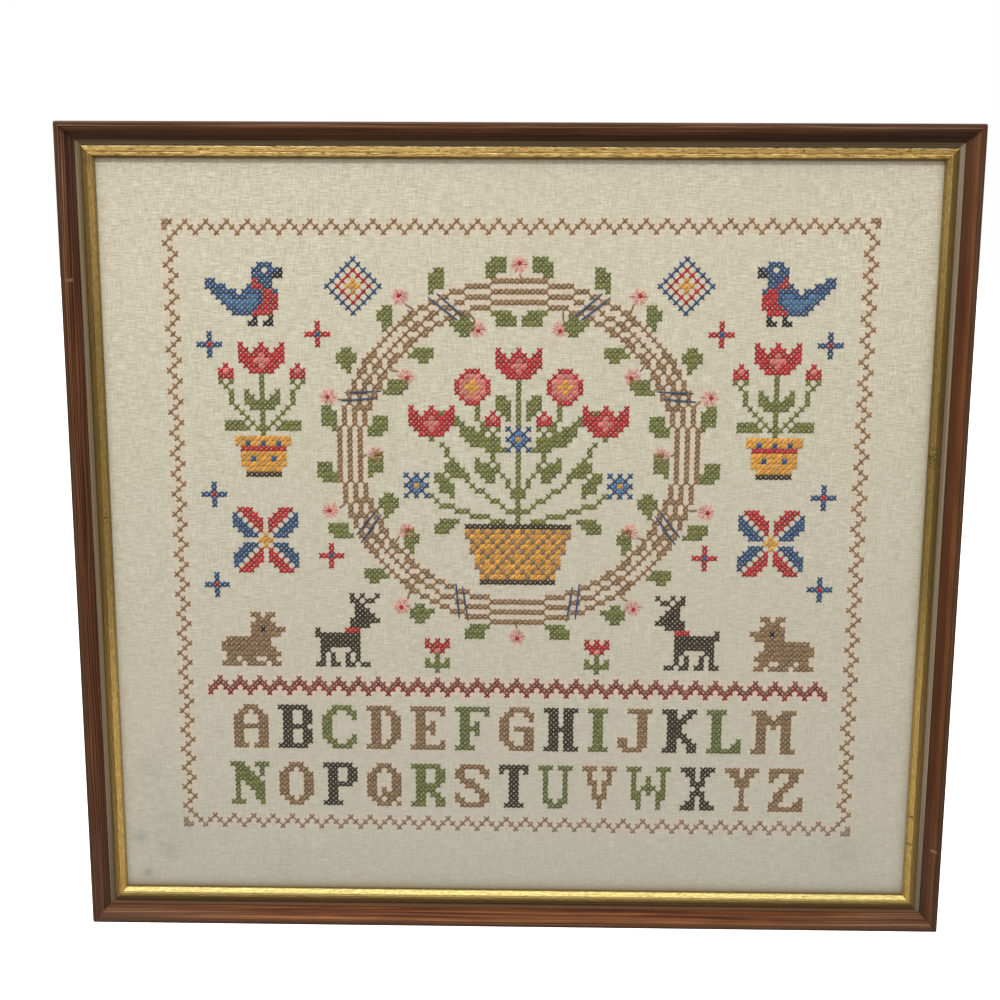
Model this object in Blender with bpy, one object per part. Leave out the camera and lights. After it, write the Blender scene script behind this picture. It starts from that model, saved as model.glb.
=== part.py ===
# Framed cross stitch sampler
#
# A stretched linen panel in a mitred picture frame, upright, its face towards -Y.
# The frame is built up of three mitred layers on each side: a stained wood rail,
# a painted cove strip that sits on the rail's inner ledge, and a gilt slip whose
# lip covers the edge of the linen. A hardboard back keeps the linen flat.
# The origin is on the wall, at the middle of the top rail's back.

import math

import bmesh
import bpy

for leftover in list(bpy.data.objects):
    bpy.data.objects.remove(leftover, do_unlink=True)

# Driving sizes, in metres

FRAME_WIDTH = 0.550
FRAME_HEIGHT = 0.510
FIT_GAP = 0.0003

# The rail's section is given as an inset from the frame's outer edge and a rise
# forward from the frame's back.

RAIL_BACK_WIDTH = 0.0165
RAIL_FACE_WIDTH = 0.0102
RAIL_CREST_RISE = 0.0220
BEAD_RADIUS = 0.0016
BEAD_TURN_END = 15.0
SCOOP_PULL_INSET = 0.0050
SCOOP_PULL_RISE = 0.0162
SCOOP_FOOT_RISE = 0.0149
LEDGE_RISE = 0.0105

COVE_WIDTH = 0.0030
COVE_OUTER_RISE = 0.0146
COVE_PULL_RISE = 0.0127
COVE_INNER_RISE = 0.0134

SLIP_WIDTH = 0.0074
SLIP_OUTER_RISE = 0.0143
SLIP_CREST_INSET = 0.0037
SLIP_CREST_RISE = 0.0160
SLIP_CREST_ROUNDING = 0.0005
SLIP_NOSE_INSET = 0.0069
SLIP_NOSE_RISE = 0.0125
SLIP_EDGE_RISE = 0.0117

LINEN_THICKNESS = 0.0010
BOARD_THICKNESS = 0.0030

BEAD_STEPS = 9
SCOOP_STEPS = 8
SMALL_CURVE_STEPS = 4
SHARP_EDGE_ANGLE = 35.0

FRAME_CENTRE_HEIGHT = -(FRAME_HEIGHT - RAIL_BACK_WIDTH) / 2

# Each side of the frame: its turn about Y from the top, and the two sizes of the
# frame that it runs along and stands across.

SIDES = (
    # name, turn in degrees, run along, span across
    ("top", 0.0, FRAME_WIDTH, FRAME_HEIGHT),
    ("right", 90.0, FRAME_HEIGHT, FRAME_WIDTH),
    ("bottom", 180.0, FRAME_WIDTH, FRAME_HEIGHT),
    ("left", -90.0, FRAME_HEIGHT, FRAME_WIDTH),
)


# Helpers for sections

def arc(centre, radius, start, end, steps):
    """Points on a circle, from one angle to another, both in degrees."""
    points = []
    for step in range(steps + 1):
        angle = math.radians(start + (end - start) * step / steps)
        inset = centre[0] + radius * math.cos(angle)
        rise = centre[1] + radius * math.sin(angle)
        points.append((inset, rise))
    return points


def pulled_curve(start, pull, end, steps):
    """A smooth curve from start to end, drawn towards the pull point."""
    points = []
    for step in range(steps + 1):
        t = step / steps
        weights = ((1 - t) ** 2, 2 * t * (1 - t), t ** 2)
        inset = sum(w * p[0] for w, p in zip(weights, (start, pull, end)))
        rise = sum(w * p[1] for w, p in zip(weights, (start, pull, end)))
        points.append((inset, rise))
    return points


def rail_section():
    """Back, side, rounded bead, hollow face, then the ledge for the inner layers."""
    bead_centre = (BEAD_RADIUS, RAIL_CREST_RISE - BEAD_RADIUS)
    bead = arc(bead_centre, BEAD_RADIUS, 180.0, BEAD_TURN_END, BEAD_STEPS)
    scoop = pulled_curve(
        bead[-1],
        (SCOOP_PULL_INSET, SCOOP_PULL_RISE),
        (RAIL_FACE_WIDTH, SCOOP_FOOT_RISE),
        SCOOP_STEPS,
    )
    ledge = [(RAIL_FACE_WIDTH, LEDGE_RISE), (RAIL_BACK_WIDTH, LEDGE_RISE)]
    return [(0.0, 0.0)] + bead + scoop[1:] + ledge + [(RAIL_BACK_WIDTH, 0.0)]


def cove_section():
    """A narrow strip with a shallow hollow face, standing on the rail's ledge."""
    outer = RAIL_FACE_WIDTH + FIT_GAP
    inner = outer + COVE_WIDTH
    foot = LEDGE_RISE + FIT_GAP
    face = pulled_curve(
        (outer, COVE_OUTER_RISE),
        ((outer + inner) / 2, COVE_PULL_RISE),
        (inner, COVE_INNER_RISE),
        SMALL_CURVE_STEPS,
    )
    return [(outer, foot)] + face + [(inner, foot)]


def slip_section():
    """A ridged strip: an outer slope, a rounded crest, an inner slope and a thin lip."""
    outer = RAIL_FACE_WIDTH + COVE_WIDTH + 2 * FIT_GAP
    foot = LEDGE_RISE + FIT_GAP
    crest = (outer + SLIP_CREST_INSET, SLIP_CREST_RISE)
    before_crest = (crest[0] - SLIP_CREST_ROUNDING, crest[1] - SLIP_CREST_ROUNDING)
    after_crest = (crest[0] + SLIP_CREST_ROUNDING, crest[1] - SLIP_CREST_ROUNDING / 2)
    nose = (outer + SLIP_NOSE_INSET, SLIP_NOSE_RISE)
    ridge = pulled_curve(before_crest, crest, after_crest, SMALL_CURVE_STEPS)
    lip = [nose, (outer + SLIP_WIDTH, SLIP_EDGE_RISE), (outer + SLIP_WIDTH, foot)]
    return [(outer, foot), (outer, SLIP_OUTER_RISE)] + ridge + lip


# Helpers for meshes, objects and materials

def finish(name, colour, roughness, metallic=0.0):
    material = bpy.data.materials.new(name)
    material.use_nodes = True
    shader = material.node_tree.nodes["Principled BSDF"]
    shader.inputs["Base Color"].default_value = (*colour, 1.0)
    shader.inputs["Roughness"].default_value = roughness
    shader.inputs["Metallic"].default_value = metallic
    return material


def strip_mesh(name, section, run, span):
    """One section drawn along a side, with both ends mitred at 45 degrees."""
    mesh = bpy.data.meshes.new(name)
    shape = bmesh.new()
    mitre_setback = FIT_GAP / math.sqrt(2)
    rings = []
    for end in (-1, 1):
        ring = []
        for inset, rise in section:
            along = end * (run / 2 - inset - mitre_setback)
            ring.append(shape.verts.new((along, -rise, span / 2 - inset)))
        rings.append(ring)
        shape.faces.new(ring)
    count = len(section)
    for index in range(count):
        following = (index + 1) % count
        corners = (
            rings[0][index],
            rings[0][following],
            rings[1][following],
            rings[1][index],
        )
        shape.faces.new(corners)
    bmesh.ops.recalc_face_normals(shape, faces=shape.faces)
    shape.to_mesh(mesh)
    shape.free()
    mesh.shade_smooth()
    mesh.set_sharp_from_angle(angle=math.radians(SHARP_EDGE_ANGLE))
    return mesh


def panel_mesh(name, back_rise, thickness):
    """A flat sheet that fills the rebate, clear of its walls by the fit gap."""
    mesh = bpy.data.meshes.new(name)
    shape = bmesh.new()
    bmesh.ops.create_cube(shape, size=1.0)
    margin = 2 * (RAIL_BACK_WIDTH + FIT_GAP)
    size = (FRAME_WIDTH - margin, thickness, FRAME_HEIGHT - margin)
    bmesh.ops.scale(shape, vec=size, verts=shape.verts)
    bmesh.ops.translate(shape, vec=(0.0, -(back_rise + thickness / 2), 0.0), verts=shape.verts)
    shape.to_mesh(mesh)
    shape.free()
    return mesh


def place(name, mesh, parent, turn=0.0):
    piece = bpy.data.objects.new(name, mesh)
    bpy.context.scene.collection.objects.link(piece)
    piece.parent = parent
    piece.rotation_euler = (0.0, math.radians(turn), 0.0)
    return piece


def build_layer(name, section, material, parent):
    """The four mitred strips of one layer; opposite sides share a mesh."""
    meshes = {}
    for side, turn, run, span in SIDES:
        if run not in meshes:
            meshes[run] = strip_mesh(f"{name}_{side}", section, run, span)
            meshes[run].materials.append(material)
        place(f"{name}_{side}", meshes[run], parent, turn)


# The sampler

centre = bpy.data.objects.new("frame_centre", None)
bpy.context.scene.collection.objects.link(centre)
centre.location = (0.0, 0.0, FRAME_CENTRE_HEIGHT)

stained_wood = finish("stained_wood", (0.115, 0.050, 0.026), 0.42)
painted_cove = finish("painted_cove", (0.200, 0.145, 0.090), 0.60)
worn_gilt = finish("worn_gilt", (0.600, 0.400, 0.140), 0.38, 0.85)
natural_linen = finish("natural_linen", (0.610, 0.560, 0.430), 0.92)
hardboard = finish("hardboard", (0.250, 0.160, 0.090), 0.75)

build_layer("rail", rail_section(), stained_wood, centre)
build_layer("cove", cove_section(), painted_cove, centre)
build_layer("slip", slip_section(), worn_gilt, centre)

linen_back = LEDGE_RISE - LINEN_THICKNESS
linen = place("linen_panel", panel_mesh("linen_panel", linen_back, LINEN_THICKNESS), centre)
linen.data.materials.append(natural_linen)

board_back = linen_back - FIT_GAP - BOARD_THICKNESS
board = place("backing_board", panel_mesh("backing_board", board_back, BOARD_THICKNESS), centre)
board.data.materials.append(hardboard)
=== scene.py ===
# %% [markdown]
# # A framed cross stitch sampler
# The real thing is a piece of plain linen, worked in cotton cross stitch over a
# faint printed guide, stretched flat over a hardboard and closed in a narrow
# mitred frame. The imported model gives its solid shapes. This script adds what
# they can't show: the weave, every stitch, the worn gilt and the wood's grain.
# All sizes are in metres, in the frame's own axes: X runs to the viewer's right,
# Z runs up, and the face looks towards -Y.

import math
import random

import bmesh
import bpy
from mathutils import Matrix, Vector, noise


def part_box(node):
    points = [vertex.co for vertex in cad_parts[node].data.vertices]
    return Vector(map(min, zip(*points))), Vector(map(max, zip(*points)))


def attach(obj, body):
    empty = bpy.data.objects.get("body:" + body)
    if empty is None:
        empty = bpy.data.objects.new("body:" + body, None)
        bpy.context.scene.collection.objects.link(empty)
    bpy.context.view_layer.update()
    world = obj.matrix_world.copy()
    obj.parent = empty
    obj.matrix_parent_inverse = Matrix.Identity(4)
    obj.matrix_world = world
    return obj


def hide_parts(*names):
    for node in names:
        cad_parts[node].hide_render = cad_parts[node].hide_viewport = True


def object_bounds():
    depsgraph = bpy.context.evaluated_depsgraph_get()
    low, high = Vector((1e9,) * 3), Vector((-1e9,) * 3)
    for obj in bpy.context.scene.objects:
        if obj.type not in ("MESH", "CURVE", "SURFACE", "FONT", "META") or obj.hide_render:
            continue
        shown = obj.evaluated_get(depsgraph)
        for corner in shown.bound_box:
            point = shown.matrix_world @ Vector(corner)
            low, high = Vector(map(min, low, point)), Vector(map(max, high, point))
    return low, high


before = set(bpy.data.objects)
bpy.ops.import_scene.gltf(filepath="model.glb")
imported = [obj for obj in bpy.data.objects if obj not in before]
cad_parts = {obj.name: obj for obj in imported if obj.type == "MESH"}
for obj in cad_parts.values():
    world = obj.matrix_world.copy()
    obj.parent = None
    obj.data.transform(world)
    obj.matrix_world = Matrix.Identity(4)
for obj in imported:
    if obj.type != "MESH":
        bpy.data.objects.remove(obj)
cad_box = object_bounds()

FRAME_WIDTH = 0.550
FRAME_HEIGHT = 0.510
RAIL_BACK_WIDTH = 0.0165
CENTRE_HEIGHT = -(FRAME_HEIGHT - RAIL_BACK_WIDTH) / 2


def new_piece(name, data):
    """An object at the origin, linked to the scene."""
    piece = bpy.data.objects.new(name, data)
    bpy.context.scene.collection.objects.link(piece)
    return piece


print("nodes:", sorted(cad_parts))
print("box:", [[round(value, 4) for value in corner] for corner in cad_box])

# %% [markdown]
# ## The camera
# The photograph was taken by hand, close up, from the height of the picture's
# upper part and looking down at it, so the sides draw in towards the bottom. The
# place, the turn and the lens were solved from the edges of the wood, the cove
# and the linen on all four sides of the photograph.

# %% Camera
CAMERA_PLACE = (0.0054, -0.9350, -0.0402)
CAMERA_TURN = (78.99, -0.24, 0.99)
CAMERA_LENS = 54.4
SENSOR_WIDTH = 36.0

camera_data = bpy.data.cameras.new("front_camera")
camera_data.lens = CAMERA_LENS
camera_data.sensor_width = SENSOR_WIDTH
camera = new_piece("front_camera", camera_data)
camera.location = CAMERA_PLACE
camera.rotation_euler = [math.radians(angle) for angle in CAMERA_TURN]
bpy.context.scene.camera = camera
print("camera at", CAMERA_PLACE)

# %% [markdown]
# ## Node helpers
# Every finish and every shape here is a graph of nodes. What a node gives out is
# wrapped as a Flow. Sums and products of flows add Math nodes to the same graph,
# so that a graph reads from top to bottom like a recipe.

# %% Helpers for node graphs
class Flow:
    """What comes out of a node: arithmetic on it adds Math nodes to its graph."""

    def __init__(self, socket):
        self.socket = socket
        self.tree = socket.id_data

    def __add__(self, other):
        return maths("ADD", self, other)

    def __sub__(self, other):
        return maths("SUBTRACT", self, other)

    def __rsub__(self, other):
        return maths("SUBTRACT", other, self)

    def __mul__(self, other):
        return maths("MULTIPLY", self, other)

    def __truediv__(self, other):
        return maths("DIVIDE", self, other)

    def __abs__(self):
        return maths("ABSOLUTE", self)


def tree_of(*values):
    """The graph that the first flow among some values belongs to."""
    return next(value.tree for value in values if isinstance(value, Flow))


def fill(socket, value):
    """Links a flow to a node's input, or sets the input to a value."""
    if isinstance(value, Flow):
        value.tree.links.new(value.socket, socket)
    else:
        socket.default_value = value


def add_node(tree, kind, inputs=None, out=0, **settings):
    """Adds a node, sets it up, fills its inputs, and gives back one or more outputs."""
    node = tree.nodes.new(kind)
    for key, value in settings.items():
        setattr(node, key, value)
    for key, value in (inputs or {}).items():
        fill(node.inputs[key], value)
    if isinstance(out, tuple):
        return [Flow(node.outputs[key]) for key in out]
    return Flow(node.outputs[out])


def maths(operation, *numbers):
    """One Math node."""
    inputs = dict(enumerate(numbers))
    return add_node(tree_of(*numbers), "ShaderNodeMath", inputs, operation=operation)


def joined(x, y, z=0.0):
    """Three numbers as one vector."""
    return add_node(tree_of(x, y, z), "ShaderNodeCombineXYZ", {0: x, 1: y, 2: z})


def ramp(factor, stops):
    """A colour ramp from a list of (place, colour)."""
    colour = add_node(factor.tree, "ShaderNodeValToRGB", {0: factor}, out="Color")
    elements = colour.socket.node.color_ramp.elements
    while len(elements) < len(stops):
        elements.new(1.0)
    for element, (place, shade) in zip(elements, stops):
        element.position = place
        element.color = (*shade, 1.0)
    return colour


def mixed(factor, first, second, blend="MIX"):
    """Goes from the first colour to the second, as far as the factor says."""
    inputs = {0: factor, 6: first, 7: second}
    for key, value in inputs.items():
        if isinstance(value, tuple):
            inputs[key] = (*value, 1.0)
    tree = tree_of(factor, first, second)
    return add_node(tree, "ShaderNodeMix", inputs, out=2, data_type="RGBA", blend_type=blend)


def tinted(factor, colour, tint):
    """Multiplies a colour by a tint, as far as the factor says."""
    return mixed(factor, colour, tint, blend="MULTIPLY")


def spread(value, low, high, to_low=0.0, to_high=1.0):
    """Maps a range of values onto another, and stops at its ends."""
    inputs = {0: value, 1: low, 2: high, 3: to_low, 4: to_high}
    return add_node(value.tree, "ShaderNodeMapRange", inputs)


def cloudy(vector, scale, detail=3.0, roughness=0.55, shift=0.0):
    """A noise texture's value. A tuple of scales stretches it along the axes."""
    if isinstance(scale, tuple):
        inputs = {"Vector": vector, "Scale": (*scale, 1.0)[:3], "Location": (shift, shift, 0.0)}
        vector = add_node(vector.tree, "ShaderNodeMapping", inputs)
        scale = 1.0
    inputs = {"Vector": vector, "Scale": scale, "Detail": detail, "Roughness": roughness}
    return add_node(vector.tree, "ShaderNodeTexNoise", inputs)


def new_finish(name, constants):
    """A material and its shader, whose constant values are set on its own sockets."""
    material = bpy.data.materials.new(name)
    material.use_nodes = True
    shader = material.node_tree.nodes["Principled BSDF"]
    for label, value in constants.items():
        shader.inputs[label].default_value = value
    return material, shader


def dress(shader, flows, height, distance, strength=1.0):
    """Links flows to the shader's sockets, and turns a height into small relief."""
    inputs = {"Height": height, "Distance": distance, "Strength": strength}
    normal = add_node(height.tree, "ShaderNodeBump", inputs)
    for label, flow in (*flows.items(), ("Normal", normal)):
        fill(shader.inputs[label], flow)


# %% [markdown]
# ## Light and floor
# The photograph is a cut-out on white, lit softly from above. A white world does
# for the background. For the light itself the world is graded: bright overhead,
# dim at the height of the face and warm below, so that the two slopes of the gilt
# have something to reflect. One soft lamp, high up at the front left, gives the
# fall of light from top to bottom and the thin shadow that the top lip throws on
# the linen. The floor lies well below the frame.

# %% World
WHITE = (1.0, 1.0, 1.0, 1.0)
SKY_STRENGTH = 2.40
SIDE_DIMMING = (0.35, 1.0, 1.0, 0.55)
SKY_BANDS = (
    # share of the way from straight down to straight up, colour
    (0.00, (0.72, 0.64, 0.54)),
    (0.12, (0.62, 0.56, 0.48)),
    (0.27, (0.48, 0.44, 0.39)),
    (0.33, (0.28, 0.26, 0.23)),
    (0.40, (0.10, 0.095, 0.085)),
    (0.52, (0.15, 0.15, 0.15)),
    (0.68, (0.34, 0.34, 0.34)),
    (0.82, (0.90, 0.90, 0.90)),
    (1.00, (1.00, 1.00, 1.00)),
)

world = bpy.data.worlds.new("soft_studio")
bpy.context.scene.world = world
world.use_nodes = True
sky = world.node_tree
sky.nodes.clear()
sky_place = add_node(sky, "ShaderNodeTexCoord", out="Generated")
sky_x, sky_z = add_node(sky, "ShaderNodeSeparateXYZ", {0: sky_place}, out=("X", "Z"))
sky_light = ramp(spread(sky_z, -1.0, 1.0), SKY_BANDS)
sky_strength = spread(abs(sky_x), *SIDE_DIMMING) * SKY_STRENGTH
sky_glow = add_node(sky, "ShaderNodeBackground", {"Color": sky_light, "Strength": sky_strength})
sky_white = add_node(sky, "ShaderNodeBackground", {"Color": WHITE, "Strength": 1.0})
sky_ray = add_node(sky, "ShaderNodeLightPath", out="Is Camera Ray")
sky_choice = add_node(sky, "ShaderNodeMixShader", {0: sky_ray, 1: sky_glow, 2: sky_white})
add_node(sky, "ShaderNodeOutputWorld", {"Surface": sky_choice}, out=())
bpy.context.scene.view_settings.view_transform = "Standard"
print("world: white to the eye, graded for the light")

# %% Lamp and floor
LAMP_PLACE = Vector((-0.45, -1.50, 1.60))
LAMP_SIZE = 0.18
LAMP_POWER = 37.5
FLOOR_DROP = 1.0
FLOOR_SIZE = 60.0
FLOOR_GREY = 0.93
FLOOR_GLOW = 0.25

softbox = bpy.data.lights.new("overhead_softbox", "AREA")
softbox.size = LAMP_SIZE
softbox.energy = LAMP_POWER
lamp = new_piece("overhead_softbox", softbox)
lamp.location = LAMP_PLACE
lamp_aim = Vector((0.0, 0.0, CENTRE_HEIGHT)) - LAMP_PLACE
lamp.rotation_euler = lamp_aim.to_track_quat("-Z", "Y").to_euler()

floor_level = cad_box[0][2] - FLOOR_DROP
floor_mesh = bpy.data.meshes.new("floor")
floor_corners = [(x * FLOOR_SIZE / 2, y * FLOOR_SIZE / 2, floor_level)
                 for x, y in ((-1, -1), (1, -1), (1, 1), (-1, 1))]
floor_mesh.from_pydata(floor_corners, [], [(0, 1, 2, 3)])
floor = new_piece("floor", floor_mesh)
floor_paint = new_finish("floor_paint", {
    "Roughness": 0.9,
    "Base Color": (FLOOR_GREY, FLOOR_GREY, FLOOR_GREY, 1.0),
    "Emission Color": WHITE,
    "Emission Strength": FLOOR_GLOW,
})
floor_mesh.materials.append(floor_paint[0])
floor.visible_diffuse = False
floor.visible_glossy = False
print("floor at", round(floor_level, 3))

# %% [markdown]
# ## The mouldings
# A frame maker buys moulding by the length: one section, run straight, cut at 45
# degrees. So each side of each layer follows one rule, and Geometry Nodes can
# make it. A section is drawn once as a loop of points that know their inset from
# the frame's outer edge and their rise from its back. The tree sweeps the loop
# along a line, then sets each point from those two numbers, shortening the run by
# the inset, which is the mitre. It also rounds the outer corner and dents the
# surface a little. The layers are a stained wood rail, a painted cove and a
# gilt slip whose lip holds the linen.

# %% Sections of the three layers
FIT_GAP = 0.0003
RAIL_FACE_WIDTH = 0.0102
RAIL_CREST_RISE = 0.0220
LEDGE_RISE = 0.0105
INNER_FOOT = LEDGE_RISE + FIT_GAP
BEAD_RADIUS = 0.0016
BACK_ROUNDING = 0.0008
SIDE_MIDDLE_RISE = 0.010
SCOOP_PULL = (0.0050, 0.0162)
SCOOP_FOOT_RISE = 0.0149
COVE_WIDTH = 0.0030
COVE_RISES = (0.0146, 0.0127, 0.0134)
SLIP_OUTER = RAIL_FACE_WIDTH + COVE_WIDTH + 2 * FIT_GAP
SLIP_OUTER_RISE = 0.0144
SLIP_WIDTH = 0.0074
SLIP_CURVES = (
    # pull and end of the outer slope, the crest, the inner slope and the lip; steps
    ((0.0014, 0.0153), (0.0031, 0.0158), 6),
    ((0.0037, 0.0160), (0.0043, 0.0157), 5),
    ((0.0056, 0.0139), (0.0069, 0.0126), 7),
    ((SLIP_WIDTH, 0.0122), (SLIP_WIDTH, 0.0116), 3),
)
SIGHT_INSET = SLIP_OUTER + SLIP_WIDTH
FOOT_STEPS = 3
BEAD_TURN = (180.0, 15.0)
FACE_STEPS = 12
COVE_STEPS = 8


def arc(centre, radius, start, end, steps):
    """Points on a circle between two angles in degrees."""
    points = []
    for step in range(steps + 1):
        turn = math.radians(start + (end - start) * step / steps)
        points.append((centre[0] + radius * math.cos(turn), centre[1] + radius * math.sin(turn)))
    return points


def pulled_curve(start, pull, end, steps):
    """A smooth curve from start to end, drawn towards the pull point."""
    points = []
    for step in range(steps + 1):
        t = step / steps
        weights = ((1 - t) ** 2, 2 * t * (1 - t), t ** 2)
        points.append(tuple(sum(w * p[axis] for w, p in zip(weights, (start, pull, end)))
                            for axis in (0, 1)))
    return points


def rail_section():
    """Back, rounded side, bead, hollow face, then the ledge under the inner layers."""
    foot = pulled_curve((BACK_ROUNDING, 0.0), (0.0, 0.0), (0.0, BACK_ROUNDING), FOOT_STEPS)
    bead_centre = (BEAD_RADIUS, RAIL_CREST_RISE - BEAD_RADIUS)
    bead = arc(bead_centre, BEAD_RADIUS, *BEAD_TURN, FACE_STEPS)
    scoop = pulled_curve(bead[-1], SCOOP_PULL, (RAIL_FACE_WIDTH, SCOOP_FOOT_RISE), FACE_STEPS)
    ledge = [(RAIL_FACE_WIDTH, LEDGE_RISE), (RAIL_BACK_WIDTH, LEDGE_RISE), (RAIL_BACK_WIDTH, 0.0)]
    return foot + [(0.0, SIDE_MIDDLE_RISE)] + bead + scoop[1:] + ledge


def cove_section():
    """A narrow strip with a shallow hollow face."""
    outer = RAIL_FACE_WIDTH + FIT_GAP
    inner = outer + COVE_WIDTH
    stops = zip((outer, (outer + inner) / 2, inner), COVE_RISES)
    return [(outer, INNER_FOOT)] + pulled_curve(*stops, COVE_STEPS) + [(inner, INNER_FOOT)]


def slip_section():
    """An outer slope, a rounded crest, an inner slope and a thin lip over the linen."""
    face = [(SLIP_OUTER, SLIP_OUTER_RISE)]
    for pull, end, steps in SLIP_CURVES:
        pull, end = [(SLIP_OUTER + inset, rise) for inset, rise in (pull, end)]
        face += pulled_curve(face[-1], pull, end, steps)[1:]
    return [(SLIP_OUTER, INNER_FOOT)] + face + [(SLIP_OUTER + SLIP_WIDTH, INNER_FOOT)]


def round_lengths(section):
    """How far along the section's outline each of its points lies."""
    lengths = [0.0]
    for before, after in zip(section, section[1:]):
        lengths.append(lengths[-1] + math.dist(before, after))
    return lengths


def crest_length(section):
    """How far along the outline its highest point lies."""
    highest = max(range(len(section)), key=lambda number: section[number][1])
    return round_lengths(section)[highest]


for layer, section in (("rail", rail_section()), ("cove", cove_section()), ("slip", slip_section())):
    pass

# %% Geometry Nodes: the mitred moulding
FACE_RISE = 0.0116
DENT_SCALE = 260.0
DENT_START = 0.55
DENT_GAIN = 4.0
TINY = 1e-7


def new_geometry_tree(name, sizes):
    """A geometry tree with one named input for each size, and its inputs by name."""
    tree = bpy.data.node_groups.new(name, "GeometryNodeTree")
    sizes = (("Geometry", "Geometry", None), *sizes)
    for label, kind, value in sizes:
        socket = tree.interface.new_socket(label, in_out="INPUT", socket_type="NodeSocket" + kind)
        if value is not None:
            socket.default_value = value
    tree.interface.new_socket("Geometry", in_out="OUTPUT", socket_type="NodeSocketGeometry")
    labels = tuple(size[0] for size in sizes)
    return tree, dict(zip(labels, add_node(tree, "NodeGroupInput", out=labels)))


def sweep(path, loop):
    """Draws a closed loop along a path, with closed ends."""
    inputs = {"Curve": path, "Profile Curve": loop, "Fill Caps": True}
    return add_node(path.tree, "GeometryNodeCurveToMesh", inputs)


def set_points(geometry, **inputs):
    """Moves points to a Position, or by an Offset."""
    return add_node(geometry.tree, "GeometryNodeSetPosition", {"Geometry": geometry, **inputs})


def finish_tree(geometry, material):
    """Ends a tree in Realize Instances and Set Material."""
    tree = geometry.tree
    real = add_node(tree, "GeometryNodeRealizeInstances", {"Geometry": geometry})
    painted = add_node(tree, "GeometryNodeSetMaterial", {"Geometry": real, "Material": material})
    add_node(tree, "NodeGroupOutput", {0: painted}, out=())


def named(tree, name, kind="FLOAT"):
    """Reads numbers or vectors stored on the points under a name."""
    inputs = {"Name": name}
    return add_node(tree, "GeometryNodeInputNamedAttribute", inputs, out="Attribute", data_type=kind)


def store(geometry, name, value, kind="FLOAT", domain="POINT"):
    """Stores a value on the geometry under a name."""
    inputs = {"Geometry": geometry, "Name": name, "Value": value}
    kinds = {"data_type": kind, "domain": domain}
    return add_node(geometry.tree, "GeometryNodeStoreNamedAttribute", inputs, **kinds)


def moulding_tree():
    tree, given = new_geometry_tree("mitred_moulding", (
        ("Run", "Float", 0.5),
        ("Span", "Float", 0.5),
        ("Mitre Gap", "Float", 0.0),
        ("Points Along", "Int", 141),
        ("End Crowding", "Float", 1.6),
        ("Corner Radius", "Float", 0.0),
        ("Dent Depth", "Float", 0.0),
        ("Seed", "Float", 0.0),
        ("Turn", "Float", 0.0),
        ("Centre Height", "Float", 0.0),
        ("Material", "Material", None),
    ))
    loop = add_node(tree, "GeometryNodeMeshToCurve", {"Mesh": given["Geometry"]})
    ends = {"Start": (-1.0, 0.0, 0.0), "End": (1.0, 0.0, 0.0)}
    line = add_node(tree, "GeometryNodeCurvePrimitiveLine", ends)
    path = add_node(tree, "GeometryNodeResampleCurve", {"Curve": line, "Count": given["Points Along"]})
    place = add_node(tree, "GeometryNodeInputPosition")
    place_x = add_node(tree, "ShaderNodeSeparateXYZ", {0: place})
    inset = named(tree, "inset")
    rise = named(tree, "rise")
    left_over = maths("MAXIMUM", 1.0 - abs(place_x), 0.0)
    crowded = 1.0 - maths("POWER", left_over, given["End Crowding"])
    half_run = given["Run"] * 0.5 - given["Mitre Gap"]
    along = crowded * (half_run - inset)

    # The square outer corner is drawn in to an arc: a point in the corner's own
    # square keeps its largest distance from the arc's centre, but as a radius.
    near_end = maths("MAXIMUM", given["Corner Radius"] - (half_run - along), 0.0)
    near_edge = maths("MAXIMUM", given["Corner Radius"] - inset, 0.0)
    reach = maths("MAXIMUM", maths("SQRT", near_end * near_end + near_edge * near_edge), TINY)
    kept = maths("MINIMUM", maths("MAXIMUM", near_end, near_edge) / reach, 1.0)
    lost = 1.0 - kept
    signed_along = (along - near_end * lost) * maths("SIGN", place_x)
    height = given["Span"] * 0.5 - (inset + near_edge * lost)

    dents = cloudy(joined(signed_along + given["Seed"], rise, inset), DENT_SCALE, 2.0, 0.5)
    dent = maths("MAXIMUM", dents - DENT_START, 0.0) * DENT_GAIN * given["Dent Depth"]
    dented_rise = rise - dent * maths("GREATER_THAN", rise, FACE_RISE)
    shaped = set_points(sweep(path, loop), Position=joined(signed_along, dented_rise * -1.0, height))

    # A field is worked out where it is used. Here the points have moved, so the X
    # of the same position node is no longer a share but the metres along the run.
    uv = joined(place_x + given["Seed"], named(tree, "round"))
    mapped = store(shaped, "UVMap", uv, kind="FLOAT2", domain="CORNER")
    smooth = add_node(tree, "GeometryNodeSetShadeSmooth", {"Geometry": mapped})
    turned = add_node(tree, "GeometryNodeTransform", {
        "Geometry": smooth,
        "Rotation": joined(0.0, given["Turn"], 0.0),
        "Translation": joined(0.0, 0.0, given["Centre Height"]),
    })
    finish_tree(turned, given["Material"])
    return tree


MOULDING = moulding_tree()
print("moulding tree:", len(MOULDING.nodes), "nodes")

# %% Helpers that run a tree and keep its result
def run_tree(piece, tree, values):
    """Adds a tree to a piece, sets its inputs, and turns the result into a plain mesh."""
    modifier = piece.modifiers.new(tree.name, "NODES")
    modifier.node_group = tree
    for item in tree.interface.items_tree:
        if item.item_type == "SOCKET" and item.in_out == "INPUT" and item.name in values:
            modifier[item.identifier] = values[item.name]
    graph = bpy.context.evaluated_depsgraph_get()
    result = bpy.data.meshes.new_from_object(piece.evaluated_get(graph), depsgraph=graph)
    result.name = piece.name
    piece.modifiers.remove(modifier)
    piece.data = result


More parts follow.
